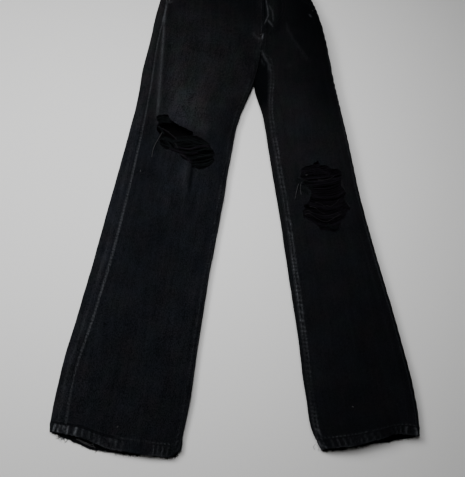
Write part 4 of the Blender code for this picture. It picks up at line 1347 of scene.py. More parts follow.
def band_columns():
    """The waistband's columns: which side each is on, its place round it and how far it laps over."""
    under = g_at("right", BAND_MIDDLE, np.linspace(0, BAND_OVERLAP, LAP_COLUMNS + 1))
    under[0] = g_at("right", BAND_MIDDLE, GAP)
    lap_start = g_at("left", BAND_MIDDLE, BAND_OVERLAP / 3)
    right = np.concatenate((under[:-1], np.linspace(under[-1], 2, BAND_COLUMNS)))
    step = np.linspace(lap_start, 0, STEP_COLUMNS + 1)[1:]
    left = np.concatenate((np.linspace(2, lap_start, BAND_COLUMNS)[1:], step))
    climb = smoothstep(0, 1, np.linspace(0, 1, STEP_COLUMNS + 1)[1:])
    flat = np.zeros(len(right) + BAND_COLUMNS - 1)
    on_left = np.repeat((False, True, False), (len(right), len(left), LAP_COLUMNS))
    g = np.concatenate((right, left, under[1:]))
    return on_left, g, np.concatenate((flat, climb, np.ones(LAP_COLUMNS)))


def make_waistband():
    on_left, g_stops, lift = band_columns()

    def mapping(i, j):
        column = i.astype(int)
        level = BAND_BOTTOM + j / BAND_ROWS * (WAIST_TOP - BAND_BOTTOM)
        right, left = (plain(side, level, g_stops[column]) for side in SIDES)
        cloth = chosen(on_left[column], left, right)
        rim = np.minimum(level - BAND_BOTTOM, WAIST_TOP - level)
        groove = 0.0003 * bell(rim - 0.0025, 0.0009)
        pucker = np.abs(0.00018 * wave(column / 4.1) * bell(rim - 0.004, 0.006))
        pucker *= cloth["point"][:, 2] >= 0.006
        height = lift[column] * (BAND_WALL + GAP) - groove - pucker
        cloth = pushed(cloth, -height[:, None])
        return rubbed(cloth, 0.28 * bell(WAIST_TOP - level, 0.0018) + 0.08 * bell(rim - 0.004, 0.003))

    return sew("denim_waistband", flat_grid(len(g_stops) - 1, BAND_ROWS), mapping, BAND_WALL)


waistband = make_waistband()

# %% Button
BUTTON = {"radius": 0.0085, "thickness": 0.0032, "from_end": 0.017}
# Its half profile, in parts of the radius and of the thickness
BUTTON_PROFILE = table(
    """
    0 0, 880 0, 970 120, 1000 380, 970 680, 880 820, 800 760, 720 620, 560 640, 460 800, 320 940, 160 990,
    0 1000
    """, 2)


def make_button():
    """A plain domed metal button with a raised rim, turned from its half profile."""
    g = g_at("right", BAND_MIDDLE, BAND_OVERLAP - BUTTON["from_end"])
    point, out = surface("right", np.array([BAND_MIDDLE]), np.array([g]))
    foot = Vector(point[0] + (BAND_WALL + 2 * GAP) * out[0])
    mesh = bmesh.new()
    verts = [mesh.verts.new((r * BUTTON["radius"], 0, z * BUTTON["thickness"])) for r, z in BUTTON_PROFILE]
    edges = [mesh.edges.new(pair) for pair in zip(verts, verts[1:])]
    bmesh.ops.spin(mesh, geom=verts + edges, cent=(0, 0, 0), axis=(0, 0, 1), steps=40,
                   angle=2 * np.pi, use_merge=True)
    bmesh.ops.remove_doubles(mesh, verts=mesh.verts, dist=TINY)
    turn = Vector((0, 0, 1)).rotation_difference(Vector(out[0])).to_matrix()
    bmesh.ops.rotate(mesh, verts=mesh.verts, cent=(0, 0, 0), matrix=turn)
    bmesh.ops.translate(mesh, verts=mesh.verts, vec=foot)
    obj = finish_object("turned_button", mesh, metal)
    obj.data.shade_smooth()
    print("button", len(obj.data.polygons), "faces")
    return obj


button = make_button()

# %% Belt loops
LOOP_WIDTH = 0.011
LOOP_LOW = WAIST_SEAM + 0.002
LOOP_HIGH = WAIST_TOP - 0.002
LOOP_DEPTH = -GAP - LOOP_WALL
# The middle of each loop, from the centre line
LOOPS = {
    "right_front": 0.095,
    "right_back": 0.100,
    "left_front": 0.062,
    "left_back": 0.105,
}


def loop_edges(name):
    """The side of a belt loop, and where its two edges cross the waistband."""
    side, where = name.split("_")
    edges = LOOPS[name] + np.array([-LOOP_WIDTH / 2, LOOP_WIDTH / 2])
    place = g_at if where == "front" else g_under
    return side, *place(side, BAND_MIDDLE, edges)


def make_loop(name):
    """The loop at the centre back lies across both halves."""
    def mapping(u, v):
        level = LOOP_LOW + v * (LOOP_HIGH - LOOP_LOW)
        if name == "centre":
            return pushed(across_centre((u - 0.5) * LOOP_WIDTH, level, g_under), LOOP_DEPTH)
        side, first, last = loop_edges(name)
        cloth = plain(side, level, first + u * (last - first), LOOP_DEPTH)
        return rubbed(cloth, 0.22 * bell(np.minimum(u, 1 - u) * LOOP_WIDTH, 0.0012))

    return patch(f"denim_loop_{name}", 8, 24, mapping, LOOP_WALL)


loops = {name: make_loop(name) for name in (*LOOPS, "centre")}
print("belt loops", len(loops))

# %% [markdown]
# ## Thread
# Every seam is topstitched in black thread. A stitch is a short piece of thread whose two ends dip into the
# cloth, so a row is a few hundred little curves. They are drawn as one curve object with a round bevel and
# made a mesh, which is quicker than hundreds of objects. Torn yarns and frayed ends are made the same way.

# %% Thread helpers
STITCH_LENGTH = 0.0028
STITCH_GAP = 0.0006
STITCH_RADIUS = 0.00033
# Where a stitch's points lie along it, and how far they stand out of the cloth, in radii
STITCH_SHAPE = np.array(((0.0, -0.55), (0.16, 0.55), (0.5, 0.95), (0.84, 0.55), (1.0, -0.55)))
THIN_END = 0.35


def tubes(name, paths, radius, material, taper=False):
    """Joins many short threads into one mesh. Each path is an array of points."""
    curve = bpy.data.curves.new(name, "CURVE")
    curve.dimensions = "3D"
    curve.bevel_depth = radius
    curve.bevel_resolution = 0
    curve.use_fill_caps = True
    for path in paths:
        spline = curve.splines.new("POLY")
        spline.points.add(len(path) - 1)
        spline.points.foreach_set("co", np.column_stack((path, np.ones(len(path)))).ravel())
        if taper:
            spline.points.foreach_set("radius", np.linspace(1.0, THIN_END, len(path)))
    drawn = bpy.data.objects.new(name + "_curve", curve)
    bpy.context.scene.collection.objects.link(drawn)
    bpy.context.view_layer.update()
    mesh = bmesh.new()
    mesh.from_mesh(drawn.evaluated_get(bpy.context.evaluated_depsgraph_get()).to_mesh())
    bmesh.ops.remove_doubles(mesh, verts=mesh.verts, dist=0.02 * radius)
    bpy.data.objects.remove(drawn)
    bpy.data.curves.remove(curve)
    obj = finish_object(name, mesh, material)
    obj.data.shade_smooth()
    obj.data.calc_loop_triangles()
    print(name, len(paths), "threads,", len(obj.data.loop_triangles), "triangles")
    return obj


def on_cloth(side, level, g, row=None, front=0.0, seams=1.0, depth=0.0):
    cloth = pushed(dress(side, level, g, level if row is None else row, front, seams), depth)
    return cloth["point"], cloth["normal"]


def stitch_row(points, normals):
    """Cuts a line on the cloth into stitches."""
    run = np.concatenate(([0], np.cumsum(np.linalg.norm(np.diff(points, axis=0), axis=1))))
    row = []
    for start in np.arange(0.5 * STITCH_GAP, run[-1] - STITCH_LENGTH, STITCH_LENGTH + STITCH_GAP):
        at = start + STITCH_SHAPE[:, 0] * STITCH_LENGTH
        point, out = (
            np.column_stack([np.interp(at, run, axis) for axis in line.T]) for line in (points, normals)
        )
        row.append(point + STITCH_SHAPE[:, 1:] * STITCH_RADIUS * out)
    return row


# %% Seam stitches
LINE_STEP = 0.0007
ROW_SPACING = SEAM_ROWS[1] - SEAM_ROWS[0]
SCOOP_ROWS = (0.0022, 0.0090)
POCKET_ROWS = (0.0022, 0.0086)
POCKET_HEM_ROWS = (0.010, 0.0155)
BAND_ROW = 0.0028
FRONT_WIDTH = 0.20


def rows_on(side, lines, row=None, **layers):
    """Rows of stitches on the sleeve, each given by its levels and its places round it."""
    return [stitch for level, g in lines for stitch in stitch_row(*on_cloth(side, level, g, row, **layers))]


def inseam_stitches(side):
    row = np.arange(HEM_TOP + 0.0005, CROTCH - 0.002, LINE_STEP)
    s = section(side, row)
    shares = [shift / (s["width"] - s["inseam"] - s["outseam"] + lap_of(s)) for shift in SEAM_ROWS]
    rows = rows_on(side, [front_spread(side, u, row) for u in shares], row, front=1.0)
    if side == "left":
        level = np.arange(CROTCH + 0.002, FLY_END, LINE_STEP)
        rows += rows_on(side, [(level, g_at(side, level, shift)) for shift in SEAM_ROWS], front=1.0)
    return rows


def hem_stitches(side):
    u = np.linspace(0.002, 0.998, 420)
    row = np.full_like(u, HEM_STITCH)
    rows = rows_on(side, [front_spread(side, u, row)], row, front=1.0)
    return rows + rows_on(side, [back_spread(side, u, row)], row)


# %% Lines of stitches on the hips
def fly_line(inner):
    """One of the two rows in a J: down beside the fly and round to its foot."""
    turn = FLY_BEND - (FLY_BEND - FLY_END - inner) * np.sin(np.linspace(0, np.pi / 2, 90))[1:]
    level = np.concatenate((np.linspace(WAIST_SEAM - 0.001, FLY_BEND, 160), turn))
    return level, g_at("left", level, np.maximum(fly_width(level, inner), 0.0015))


def scoop_line(side, below):
    """One of the two rows along the pocket opening."""
    shares = np.linspace(0, 1, 400)
    u = np.linspace(shares[int(np.argmax(scoop_drop(side, shares) > 0))], 0.985, 400)
    top = WAIST_SEAM - scoop_drop(side, u)
    level = top - below * np.hypot(1, np.gradient(top, u) / FRONT_WIDTH)
    return level, front_g(side, level, u)


def yoke_line(side, above):
    u = np.linspace(0.005, 0.995, 400)
    level = yoke_level(u) + above
    return level, back_g(side, level, u, seat_gap(side, level))


def seat_line(shift):
    """One of the two rows down the left half beside the seat seam."""
    level = np.linspace(FORK + 0.002, WAIST_SEAM - 0.001, 500)
    return level, g_under("left", level, shift)


print("the J is", round(float(fly_width(0.95)), 3), "from the centre front")

# %% Pocket, waistband and loop stitches
def pocket_stitches(side):
    """Two rows round the back pocket and two across its hem."""
    lines = []
    for inside in POCKET_ROWS:
        across, up = inside / POCKET["width"], inside / POCKET["height"]
        down, still = np.linspace(1 - 0.01, up, 200), np.ones(200)
        u = (across * still, np.linspace(across, 1 - across, 200), (1 - across) * still)
        lines.append((np.concatenate(u), np.concatenate((down, up * still, down[::-1]))))
    for below in POCKET_HEM_ROWS:
        lines.append((np.linspace(0.02, 0.98, 200), np.full(200, 1 - below / POCKET["height"])))
    return rows_on(side, [pocket_spread(side, u, v) for u, v in lines], seams=0.0, depth=-LAYER)


def band_stitches():
    """A row along each edge of the waistband, and one down its left end."""
    on_left, g_stops, lift = band_columns()
    parts = (("right", ~on_left & (lift == 0)), ("left", on_left), ("right", ~on_left & (lift == 1)))
    rows = []
    for level in (WAIST_SEAM + BAND_ROW, WAIST_TOP - BAND_ROW):
        for side, picked in parts:
            columns = np.linspace(0, picked.sum() - 1, 6 * picked.sum())
            g, up = read(g_stops[picked], columns), read(lift[picked], columns)
            points, normals = on_cloth(side, np.full_like(g, level), g, seams=0.0)
            rows += stitch_row(points + (up * (BAND_WALL + GAP))[:, None] * normals, normals)
    level = np.linspace(WAIST_SEAM + 0.003, WAIST_TOP - 0.003, 60)
    end = np.full_like(level, g_stops[-3])
    return rows + rows_on("right", [(level, end)], seams=0.0, depth=-(BAND_WALL + GAP))


def loop_stitches(name):
    side, first, last = loop_edges(name)
    level = np.linspace(LOOP_LOW + 0.004, LOOP_HIGH - 0.004, 40)
    lines = [(level, np.full_like(level, first + share * (last - first))) for share in (0.2, 0.8)]
    return rows_on(side, lines, seams=0.0, depth=LOOP_DEPTH)


# %% All topstitching
seam_rows = rows_on("left", [fly_line(inner) for inner in (0.0, ROW_SPACING)], front=1.0)
seam_rows += rows_on("left", [seat_line(shift) for shift in SEAM_ROWS]) + band_stitches()
for name in LOOPS:
    seam_rows += loop_stitches(name)
for side in SIDES:
    seam_rows += inseam_stitches(side) + hem_stitches(side)
    seam_rows += rows_on(side, [scoop_line(side, below) for below in SCOOP_ROWS])
    seam_rows += rows_on(side, [yoke_line(side, above) for above in SEAM_ROWS]) + pocket_stitches(side)
stitches = tubes("topstitching", seam_rows, STITCH_RADIUS, stitching)

# %% Bartacks
TACK_RADIUS = 0.00030
TACK_WIDTH = 0.0030
TACK_PITCH = 0.0007
LONG_TACK, SHORT_TACK = 0.009, 0.008
UP, ACROSS = np.array((0.0, 1.0, 0.0)), np.array((1.0, 0.0, 0.0))


def bartack(side, level, g, along, length, **layers):
    """A dense zigzag of thread that locks the end of a seam."""
    points, normals = on_cloth(side, np.array([level]), np.array([g]), **layers)
    point, normal = points[0], normals[0]
    along = along - normal * (along @ normal)
    along /= np.linalg.norm(along)
    across = np.cross(normal, along)
    count = max(4, round(length / TACK_PITCH))
    shares = np.arange(count) / (count - 1) - 0.5
    signs = np.where(np.arange(count) % 2, 0.5, -0.5)
    path = point + np.outer(shares * length, along) + np.outer(signs * TACK_WIDTH, across)
    return path + normal * STITCH_RADIUS * 0.9


def all_bartacks():
    tacks = []
    for side in SIDES:
        for shift in (-0.004, 0.003):
            g = outseam_g(side, POCKET_CORNER, shift)
            tacks.append(bartack(side, POCKET_CORNER - 0.004, g, ACROSS, LONG_TACK))
        for u in (0.05, 0.95):
            level, g = pocket_spread(side, u, 0.985)
            tacks.append(bartack(side, level, g, UP, SHORT_TACK, seams=0.0, depth=-LAYER))
        for name in (name for name in LOOPS if name.startswith(side)):
            middle = np.mean(loop_edges(name)[1:])
            for level in (LOOP_LOW + 0.002, LOOP_HIGH - 0.002):
                tacks.append(bartack(side, level, middle, ACROSS, LONG_TACK, seams=0.0, depth=LOOP_DEPTH))
    for level, shift, along in ((0.866, 0.006, ACROSS), (0.893, 0.020, UP)):
        tacks.append(bartack("left", level, g_at("left", level, shift), along, LONG_TACK, front=1.0))
    return tacks


bartacks = tubes("bartacks", all_bartacks(), TACK_RADIUS, stitching)

# %% [markdown]
# ## Torn yarns
# When denim rips, the short vertical warp breaks and frays, but the soft weft across the tear stays and
# hangs in curtains. Each weft here runs on the sleeve at one level from edge to edge of the hole, sags a
# little down the leg and into the hole, and is drawn towards its neighbours in bundles. Where the real ones
# have gathered into a heavy strand, or hang loose, the strand is given point by point.

# %% Places on the sleeve
HALVINGS = 30


def sleeve_at(side, x, y):
    """The level and the place round the sleeve of points seen from above on the front."""
    low, high = np.full(np.shape(x), -0.05), np.full(np.shape(x), 1.05)
    for _ in range(HALVINGS):
        middle = 0.5 * (low + high)
        s = section(side, middle)
        turned = (x - s["x_in"]) * s["run_y"] - (y - s["y_in"]) * s["run_x"]
        below = OUTWARD[side] * turned < 0
        low, high = np.where(below, middle, low), np.where(below, high, middle)
    s = section(side, low)
    distance = ((x - s["x_in"]) * s["run_x"] + (y - s["y_in"]) * s["run_y"]) / s["width"]
    return low, g_at(side, low, distance)


def above(side, points, height):
    """Points given by x and y, set this far above the front."""
    points = np.asarray(points, dtype=float)
    level, g = sleeve_at(side, points[:, 0], points[:, 1])
    cloth = dress(side, level, g, np.ones_like(level))
    return np.column_stack((points, cloth["point"][:, 2] + height))


probe = above("right", [(-0.1, 0.0), (-0.2, -0.3)], 0.0)
print("heights on the right front", probe[:, 2].round(4))

# %% Weft curtains
WEFT_RADIUS = 0.00034
WEFT_POINTS = 22
SHORTEST_WEFT = 0.006
# Above this line the wearer's right rip is bare.
BARE = columns_of("-120 62, -108 70, -95 76, -85 82, -40 88", "x y")
# How far the wefts of the left rip sag down the leg, and into the hole
SAG = columns_of("390 6 5, 430 18 6, 470 13 3, 500 6 1.2, 550 2 0.6", "level slack dip")
SLIT = (0.5108, 0.5136)


def curtain(side, levels, slack, dip, seed):
    """Wefts across a rip at these levels. slack sags them down the leg, dip into the hole."""
    random = np.random.default_rng(seed)
    g = np.linspace(0.15, 0.85, 420)
    t = np.linspace(0, 1, WEFT_POINTS)
    sag = unit(4 * t * (1 - t))
    paths = []
    for level in levels:
        cloth = dress(side, np.full_like(g, level), g, np.ones_like(g))
        inside = within(EDGES[side], cloth["point"][:, 0], cloth["point"][:, 1])
        ends = np.flatnonzero(np.diff(inside.astype(int)))
        for first, last in zip(ends[::2], ends[1::2]):
            if cloth["grain"][last, 0] - cloth["grain"][first, 0] < SHORTEST_WEFT:
                continue
            span = np.linspace(g[first] - 0.012, g[last] + 0.012, WEFT_POINTS)
            drop = slack(level) * random.uniform(0.65, 1.30) * sag
            drop += 0.0007 * hills(t, np.full_like(t, level), 0.22, 0.004, seed + 3) * sag
            under = dress(side, level - drop, span, np.ones_like(t))
            deep = 0.0008 + dip(level) * random.uniform(0.7, 1.3) * sag**0.7
            paths.append(under["point"] - deep[:, None] * under["normal"])
    return paths


def gather(levels, pitch, seed, amount=0.55):
    """Draws levels together in bundles."""
    return levels + amount * pitch * hills(levels * 0, levels, 1.0, pitch, seed)


def right_rip():
    """Wefts cross the lower right of the wearer's right rip, deep in the hole. Its upper part is bare."""
    levels = gather(np.arange(0.534, 0.650, 0.0013), 0.005, 71)
    paths = curtain("right", levels, lambda level: 0.005, lambda level: 0.0085, 72)
    middles = [path[6:-6] for path in paths]
    hung = [(middle[:, 1] < np.interp(middle[:, 0], BARE["x"], BARE["y"])).mean() for middle in middles]
    return [path for path, share in zip(paths, hung) if share > 0.55]


def left_rip():
    """The wearer's left rip is a nearly whole curtain, with a slit along its top."""
    levels = gather(np.arange(0.384, 0.562, 0.00080), 0.0065, 81, 0.34)
    levels = levels[(levels <= SLIT[0]) | (levels >= SLIT[1])]
    slack, dip = (partial(np.interp, xp=SAG["level"], fp=SAG[name]) for name in ("slack", "dip"))
    return curtain("left", levels, slack, dip, 82)


right_wefts = tubes("rip_wefts_right", right_rip(), WEFT_RADIUS, yarn)
left_wefts = tubes("rip_wefts_left", left_rip(), WEFT_RADIUS, plum_yarn)

# %% Strands given point by point
STRAND_POINTS = 18
TUCK = 0.0013
# How many yarns each strand has, how far they spread and how deep they hang, and then its points. First the
# dark sheet and the tangle on the right, then the plum bundles that cross them, and the rubbed ones on top.
DARK_STRANDS = {
    "right": """
    30 8.5 3.4: -120.6 67, -104 69, -85.2 70, -66.2 64, -48 56;
    9 2.4 1.2: -156 76, -143.7 70.8, -137.2 63.9, -129 54;
    9 2.4 0.8: -145 76, -135.3 70.8, -124.7 63.9, -115 50;
    8 2.2 1: -156 73.1, -141.6 72.8, -131 68.2, -119 68.5;
    8 2.6 1.4: -156 64, -145 60, -134 56, -123 52;
    12 3 3: -88 14, -71.7 15, -57.2 17.4, -42.9 25.3;
    9 1.5 0.2: -100 40, -85 44, -72 46.2, -59.7 49.2, -40 50.5;
    12 2.2 0: -100 26, -86 29, -76 31, -59.5 34.4, -37 40.4;
    5 1 1.6: -94 20, -76 21.5, -58 24.5, -39 33;
    14 3.6 0.6: -163 122.5, -153 123.5, -142 121.5, -133 118;
    12 3 1: -163 113, -152 115, -142 115, -131 113;
    9 2.2 0.6: -163 105, -156 101, -150 93, -146 85
    """,
    "left": """
    6 2.6 -1.4: 120 -15, 128.6 -24.8, 140.4 -29.1, 159 -31.3;
    8 3.2 -1.4: 122 -33, 132 -35.6, 142 -39.9, 160 -44.3;
    5 2.4 -1.4: 124 -23, 130 -38, 134 -46, 143.6 -52;
    6 1.6 -1.4: 138 -38, 143 -50, 151.1 -63.5;
    14 5 1: 183 -121, 193 -129, 206 -124
    """,
}
PLUM_STRANDS = {
    "right": """
    4 1 2.4: -158 104, -144.5 94.2, -136 88, -122.9 75.5, -117 68;
    11 1.9 1: -123 56, -103.5 52, -88.9 50.5, -74.4 55, -50 59;
    11 2.4 1.6: -134 51, -117.9 47.7, -103.3 43.1, -88 40.8, -74 44;
    12 2.4 0: -113 42, -103 35, -94.6 28.2, -86 20
    """,
    "left": """
    6 2 0: 134 -40, 148.8 -43, 160 -48;
    12 3.4 2.6: 134 -93, 162 -100, 185 -106, 208 -100, 226 -90;
    10 3 4.4: 140 -107, 165 -117, 188 -123, 212 -114;
    12 3 1.6: 150 -76, 170 -83, 193 -86, 220 -74;
    16 6 0.2: 130 -12, 150 -8, 175 -11, 196 -15
    """,
}
BRIGHT_STRANDS = {
    "right": """
    2 0.7 0.4: -150 98.5, -140 91.5, -134 88;
    2 0.6 0.4: -134 86, -127 80, -119 71.5;
    2 0.6 -0.6: -124 65, -119 59, -116.5 52;
    1 0.6 0: -100 51.5, -88.9 50, -78 54;
    1 0.5 -0.2: -76 31.2, -64 33.5, -48 38;
    2 1.4 -0.6: -114 38.5, -106 35, -98 29
    """,
    "left": """
    4 0.5 -0.3: 169 -27, 178 -27.8, 185.1 -27, 193.3 -24.3, 203 -18;
    2 0.6 -0.2: 161 -75, 172.7 -79, 181.5 -85;
    2 0.6 -0.2: 183 -80, 192.3 -83.2, 198.5 -79, 204.6 -74.7, 208.5 -68;
    2 0.5 0.4: 150 -83, 162.5 -87.4, 168.1 -93.8, 181 -99.5;
    1 0.6 0.6: 167 -102.2, 185.4 -103.5, 197.4 -99.3, 213 -94;
    3 0.6 0.4: 140 -100, 148.2 -98.2, 154 -101.1, 159.7 -106.4, 167.4 -110.8, 175 -114.7,
        182.8 -115.7, 190.9 -111.6, 201 -105.3, 213 -98;
    2 1 -0.6: 139.5 -93.5, 146.5 -91.7, 157 -96.5;
    2 1.2 -0.4: 135 -30, 145 -29, 153 -32
    """,
}
LOOSE_ENDS = {
    "right": """
    2 0.5 -3: -150 89, -155.9 73.4, -161.7 61.8, -167.3 45.7, -169 30
    """,
    "left": """
    2 0.5 -2.6: 131 -31.7, 126.2 -49, 121.7 -68;
    1 0.4 -1.2: 136 -27, 133 -43, 134 -60
    """,
}
print(DARK_STRANDS["right"].count(";") + 1, "dark strands on the right")

# %% Strands drawn from the tables
def through(points, count):
    """A smooth run of points through these."""
    steps = np.concatenate(([0], np.cumsum(np.hypot(*np.diff(points, axis=0).T))))
    at = np.linspace(0, steps[-1], count)
    return np.column_stack([smooth(steps, points[:, k], at) for k in range(2)])


def strand(side, points, count, spread, sink, seed):
    """A bundle of yarns along these points: tucked under the cloth at its ends and sunk in its middle."""
    random = np.random.default_rng(seed)
    line = through(points, STRAND_POINTS)
    run = np.gradient(line, axis=0)
    across = np.column_stack((-run[:, 1], run[:, 0])) / np.hypot(run[:, 0], run[:, 1])[:, None]
    t = np.linspace(0, 1, STRAND_POINTS)
    body = unit(4 * t * (1 - t)) ** 0.6
    paths = []
    for k in range(count):
        aside = spread * (random.uniform(-1, 1) + 0.6 * hills(t, np.full_like(t, k), 0.3, 1.0, seed))
        lift = random.uniform(-0.0006, 0.0006)
        lift += 0.0004 * hills(t, np.full_like(t, k + 0.5), 0.2, 1.0, seed + 1)
        height = -TUCK * (1 - body) - sink * body + lift * body
        paths.append(above(side, line + aside[:, None] * across, height))
    return paths


def all_strands(name, strands, radius, material, seed):
    """Every strand of a table, on both legs, as one object."""
    paths = []
    for side in SIDES:
        for number, text in enumerate(strands[side].split(";")):
            bundle, route = text.split(":")
            count, spread, sink = table(bundle, 3)[0]
            paths += strand(side, table(route, 2), round(count * 1000), spread, sink, seed + 7 * number)
    return tubes(name, paths, radius, material)


rip_threads = [
    right_wefts,
    left_wefts,
    all_strands("dark_strands", DARK_STRANDS, WEFT_RADIUS, yarn, 200),
    all_strands("plum_strands", PLUM_STRANDS, WEFT_RADIUS, plum_yarn, 400),
    all_strands("bright_strands", BRIGHT_STRANDS, 0.00032, pale_yarn, 600),
    all_strands("loose_ends", LOOSE_ENDS, 0.00050, frayed_warp, 800),
]

# %% [markdown]
# ## Fray and lint
# Broken warp threads stand out all round each rip, and the worn hems shed theirs downwards. They are thinner
# than the wefts and taper. A few curls of pale lint lie on the cloth.

# %% Frayed rips
HAIR_POINTS = 5


def heading(angle):
    """Unit steps in the direction of each angle."""
    return np.column_stack((np.cos(angle), np.sin(angle)))


def hairs(anchors, angles, lengths, side, seed, lift):
    """Short curved threads that start at these anchors, given by x and y, on the front."""
    random = np.random.default_rng(seed)
    t = np.linspace(0, 1, HAIR_POINTS)
    turn = random.uniform(-0.9, 0.9, len(anchors))
    rise = random.uniform(0.1, 1.0, len(anchors)) * lift
    stack = []
    for anchor, angle, length, bend in zip(anchors, angles, lengths, turn):
        steps = heading(angle + bend * t) * length / (HAIR_POINTS - 1)
        stack.append(anchor + np.concatenate(([[0, 0]], np.cumsum(steps[:-1], axis=0))))
    paths = above(side, np.concatenate(stack), 0.0).reshape(len(stack), HAIR_POINTS, 3)
    paths[:, :, 2] += -0.0009 + (0.0012 + rise[:, None]) * t**1.2
    return list(paths)


def fray(side, count, seed):
    random = np.random.default_rng(seed)
    outline = EDGES[side]
    start = random.integers(0, len(outline), count)
    run = (np.roll(outline, -1, axis=0) - outline)[start]
    anchors = outline[start] + random.uniform(0, 1, count)[:, None] * run
    inward = np.column_stack((-run[:, 1], run[:, 0]))
    inward /= np.hypot(inward[:, 0], inward[:, 1])[:, None]
    facing = np.sign(((outline.mean(0) - anchors) * inward).sum(1))[:, None]
    inward *= np.where(facing == 0, 1, facing)
    angles = np.arctan2(inward[:, 1], inward[:, 0]) + random.normal(0, 0.6, count)
    lengths = np.clip(random.exponential(0.0026, count) + 0.0016, 0, 0.010)
    return hairs(anchors - 0.0012 * inward, angles, lengths, side, seed + 1, 0.0012)


edge_hairs = fray("right", 420, 91) + fray("left", 480, 93)
frayed_edges = tubes("frayed_edges", edge_hairs, 0.00022, plum_yarn, taper=True)

# %% Frayed hems and lint
# Side, layer, first and last share along the edge, how many threads, and the longest
HEM_FRAYS = (
    ("right", "front", 0.02, 0.98, 150, 0.0026),
    ("left", "front", 0.02, 0.98, 130, 0.0026),
    ("right", "back", 0.22, 0.97, 420, 0.0042),
    ("left", "back", 0.22, 0.97, 320, 0.0040),
    ("right", "back", 0.50, 0.72, 160, 0.0065),
    ("left", "back", 0.62, 0.80, 100, 0.0060),
    ("right", "back", 0.36, 0.40, 30, 0.0110),
)
# Loose pale threads below the hems, and curls of lint on the cloth
HEM_THREADS = """
    -286 -520.5, -278 -524.5, -269 -529.2, -260 -532.5; -283 -520, -275 -524, -267 -528, -259 -531;
    -272 -527, -264 -531, -256 -533.5, -248 -534.5; -269 -526, -261 -530, -254 -529, -250 -532;
    -256 -528.5, -252 -535, -249 -538.5; -224 -539, -214 -541, -203 -542; -166 -539.5, -162.5 -544,
    -160 -547.5; -157 -540, -155.5 -545; -145 -542, -140 -545.5, -138 -544; 147.5 -529, 144 -534,
    146 -539; 150 -531, 154.5 -536, 152 -540
    """
LINT = table("-212 -500, -190 3, 144 -16.5, 215 -467, 62.5 311, -143 412, -142.5 415.5, 176 374", 2)
FLOOR_CLEARANCE = 0.0004


print("lint in", len(LINT), "places")

# %% Hem threads and lint
def hem_edge(side, layer, u):
    """Points on the bottom edge of the hem."""
    row = np.zeros_like(u)
    spread = front_spread if layer == "front" else back_spread
    cloth = dress(side, *spread(side, u, row), row)
    return cloth["point"] - 0.5 * HEM_WALL * cloth["normal"]


def hem_hairs(seed):
    random = np.random.default_rng(seed)
    t = np.linspace(0, 1, HAIR_POINTS)
    paths = []
    for side, layer, low, high, count, longest in HEM_FRAYS:
        for anchor in hem_edge(side, layer, random.uniform(low, high, count)):
            length = longest * random.uniform(0.35, 1.0)
            angle = -np.pi / 2 + random.normal(0, 0.6) + random.uniform(-1, 1) * t
            line = np.column_stack((heading(angle), np.full_like(t, -0.35))) * length * t[:, None]
            path = anchor + line + (0.0, 0.0006, random.uniform(-0.0010, 0.0010))
            path[:, 2] = np.maximum(path[:, 2], FLOOR_CLEARANCE)
            paths.append(path)
    return paths


def curls():
    random = np.random.default_rng(101)
    paths = []
    for x, y in LINT:
        side = "right" if x < 0.06 else "left"
        angle = random.uniform(0, 2 * np.pi) + np.linspace(0, random.uniform(1.0, 3.0), 7)
        steps = heading(angle) * random.uniform(0.0004, 0.0007)
        paths.append(above(side, (x, y) + np.cumsum(steps, axis=0), 0.0006))
    for text in HEM_THREADS.split(";"):
        line = through(table(text, 2), 12)
        paths.append(np.column_stack((line, np.linspace(0.0070, 0.0016, 12))))
    return paths


hem_fray = tubes("hem_fray", hem_hairs(97), 0.00042, stitching, taper=True)
lint_bits = tubes("lint", curls(), 0.00030, lint)

# %% [markdown]
# ## The floor and the light
# The jeans lie on a pale matt floor. A large lamp stands on the upper left, so that seams and puckers show by
# their shadows, another above the jeans evens out the floor, and the pale grey world does the rest.

# %% Floor
FLOOR_HALF_WIDTH = 4


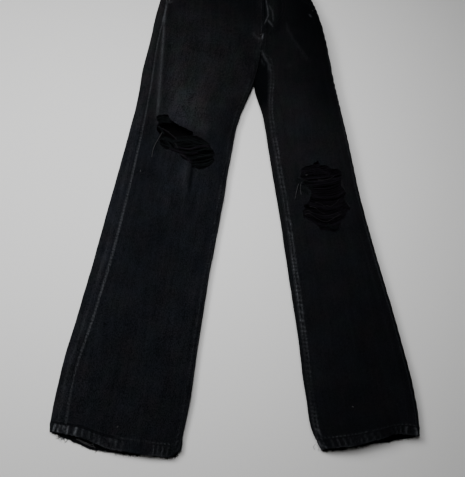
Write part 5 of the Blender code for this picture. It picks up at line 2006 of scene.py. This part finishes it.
def make_floor():
    mesh = bmesh.new()
    bmesh.ops.create_grid(mesh, x_segments=1, y_segments=1, size=FLOOR_HALF_WIDTH)
    data = bpy.data.meshes.new("floor")
    mesh.to_mesh(data)
    mesh.free()
    made = Finish("pale_floor")
    position = made.position()
    made.set(made.shader, {
        "Base Color": made.mix(made.noise(position, 2.2, 3.0), tone(790, 790, 790), tone(830, 830, 825)),
        "Roughness": 0.9,
        "Normal": made.bump(made.noise(position, 900.0), 0.08, 0.0005),
    })
    data.materials.append(made.material)
    obj = bpy.data.objects.new("floor", data)
    bpy.context.scene.collection.objects.link(obj)
    return obj


floor = make_floor()
print("floor", [round(v, 1) for v in floor.dimensions])

# %% Light
WORLD_TONE = (1.0, 0.99, 0.95, 1.0)
WORLD_STRENGTH = 0.055


def area_light(name, place, target, size, spread, power, colour):
    light = bpy.data.lights.new(name, "AREA")
    light.size = size
    light.spread = np.radians(spread)
    light.energy = power
    light.color = colour
    obj = bpy.data.objects.new(name, light)
    obj.location = place
    obj.rotation_euler = (Vector(target) - Vector(place)).to_track_quat("-Z", "Y").to_euler()
    bpy.context.scene.collection.objects.link(obj)


area_light("window", (-1.29, 0.50, 1.71), (-0.70, -0.15, 0.0), 0.9, 100, 12.4, (1.0, 1.0, 0.995))
area_light("ceiling", (-0.06, 0.06, 1.30), (-0.06, 0.06, 0.0), 0.7, 88, 3.7, (1.0, 1.0, 1.0))
world = bpy.data.worlds.new("studio")
bpy.context.scene.world = world
world.use_nodes = True
world.node_tree.nodes["Background"].inputs["Color"].default_value = WORLD_TONE
world.node_tree.nodes["Background"].inputs["Strength"].default_value = WORLD_STRENGTH

# %% [markdown]
# ## Hiding the CAD solids and attaching the pieces
# Each cloth, the button and the slider hide the CAD solid that they replace, and every piece is parented to
# the root. The stitches, torn yarns and teeth have no solid of their own and are only attached.


def declare(obj, node, slot="denim"):
    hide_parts(node)
    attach(obj, "root")


pairs = {"front": fronts, "back": backs, "yoke": yokes, "pocket_facing": facings, "back_pocket": back_pockets}
panels = {f"{kind}_{side}": made[side] for side in SIDES for kind, made in pairs.items()}
panels |= {"zip_tape": zip_tape_cloth, "fly_shield": fly_shield_cloth, "waistband": waistband}
for node, piece in panels.items():
    declare(piece, node, "zip_tape" if node == "zip_tape" else "denim")
for name, piece in loops.items():
    declare(piece, f"belt_loop_{name}")
declare(slider, "zip_slider", "metal")
declare(button, "button", "metal")
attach(zip_teeth, "root")
for piece in (stitches, bartacks, *rip_threads, frayed_edges, hem_fray, lint_bits):
    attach(piece, "root")
print("declared", len(panels) + len(loops), "sheets of cloth")
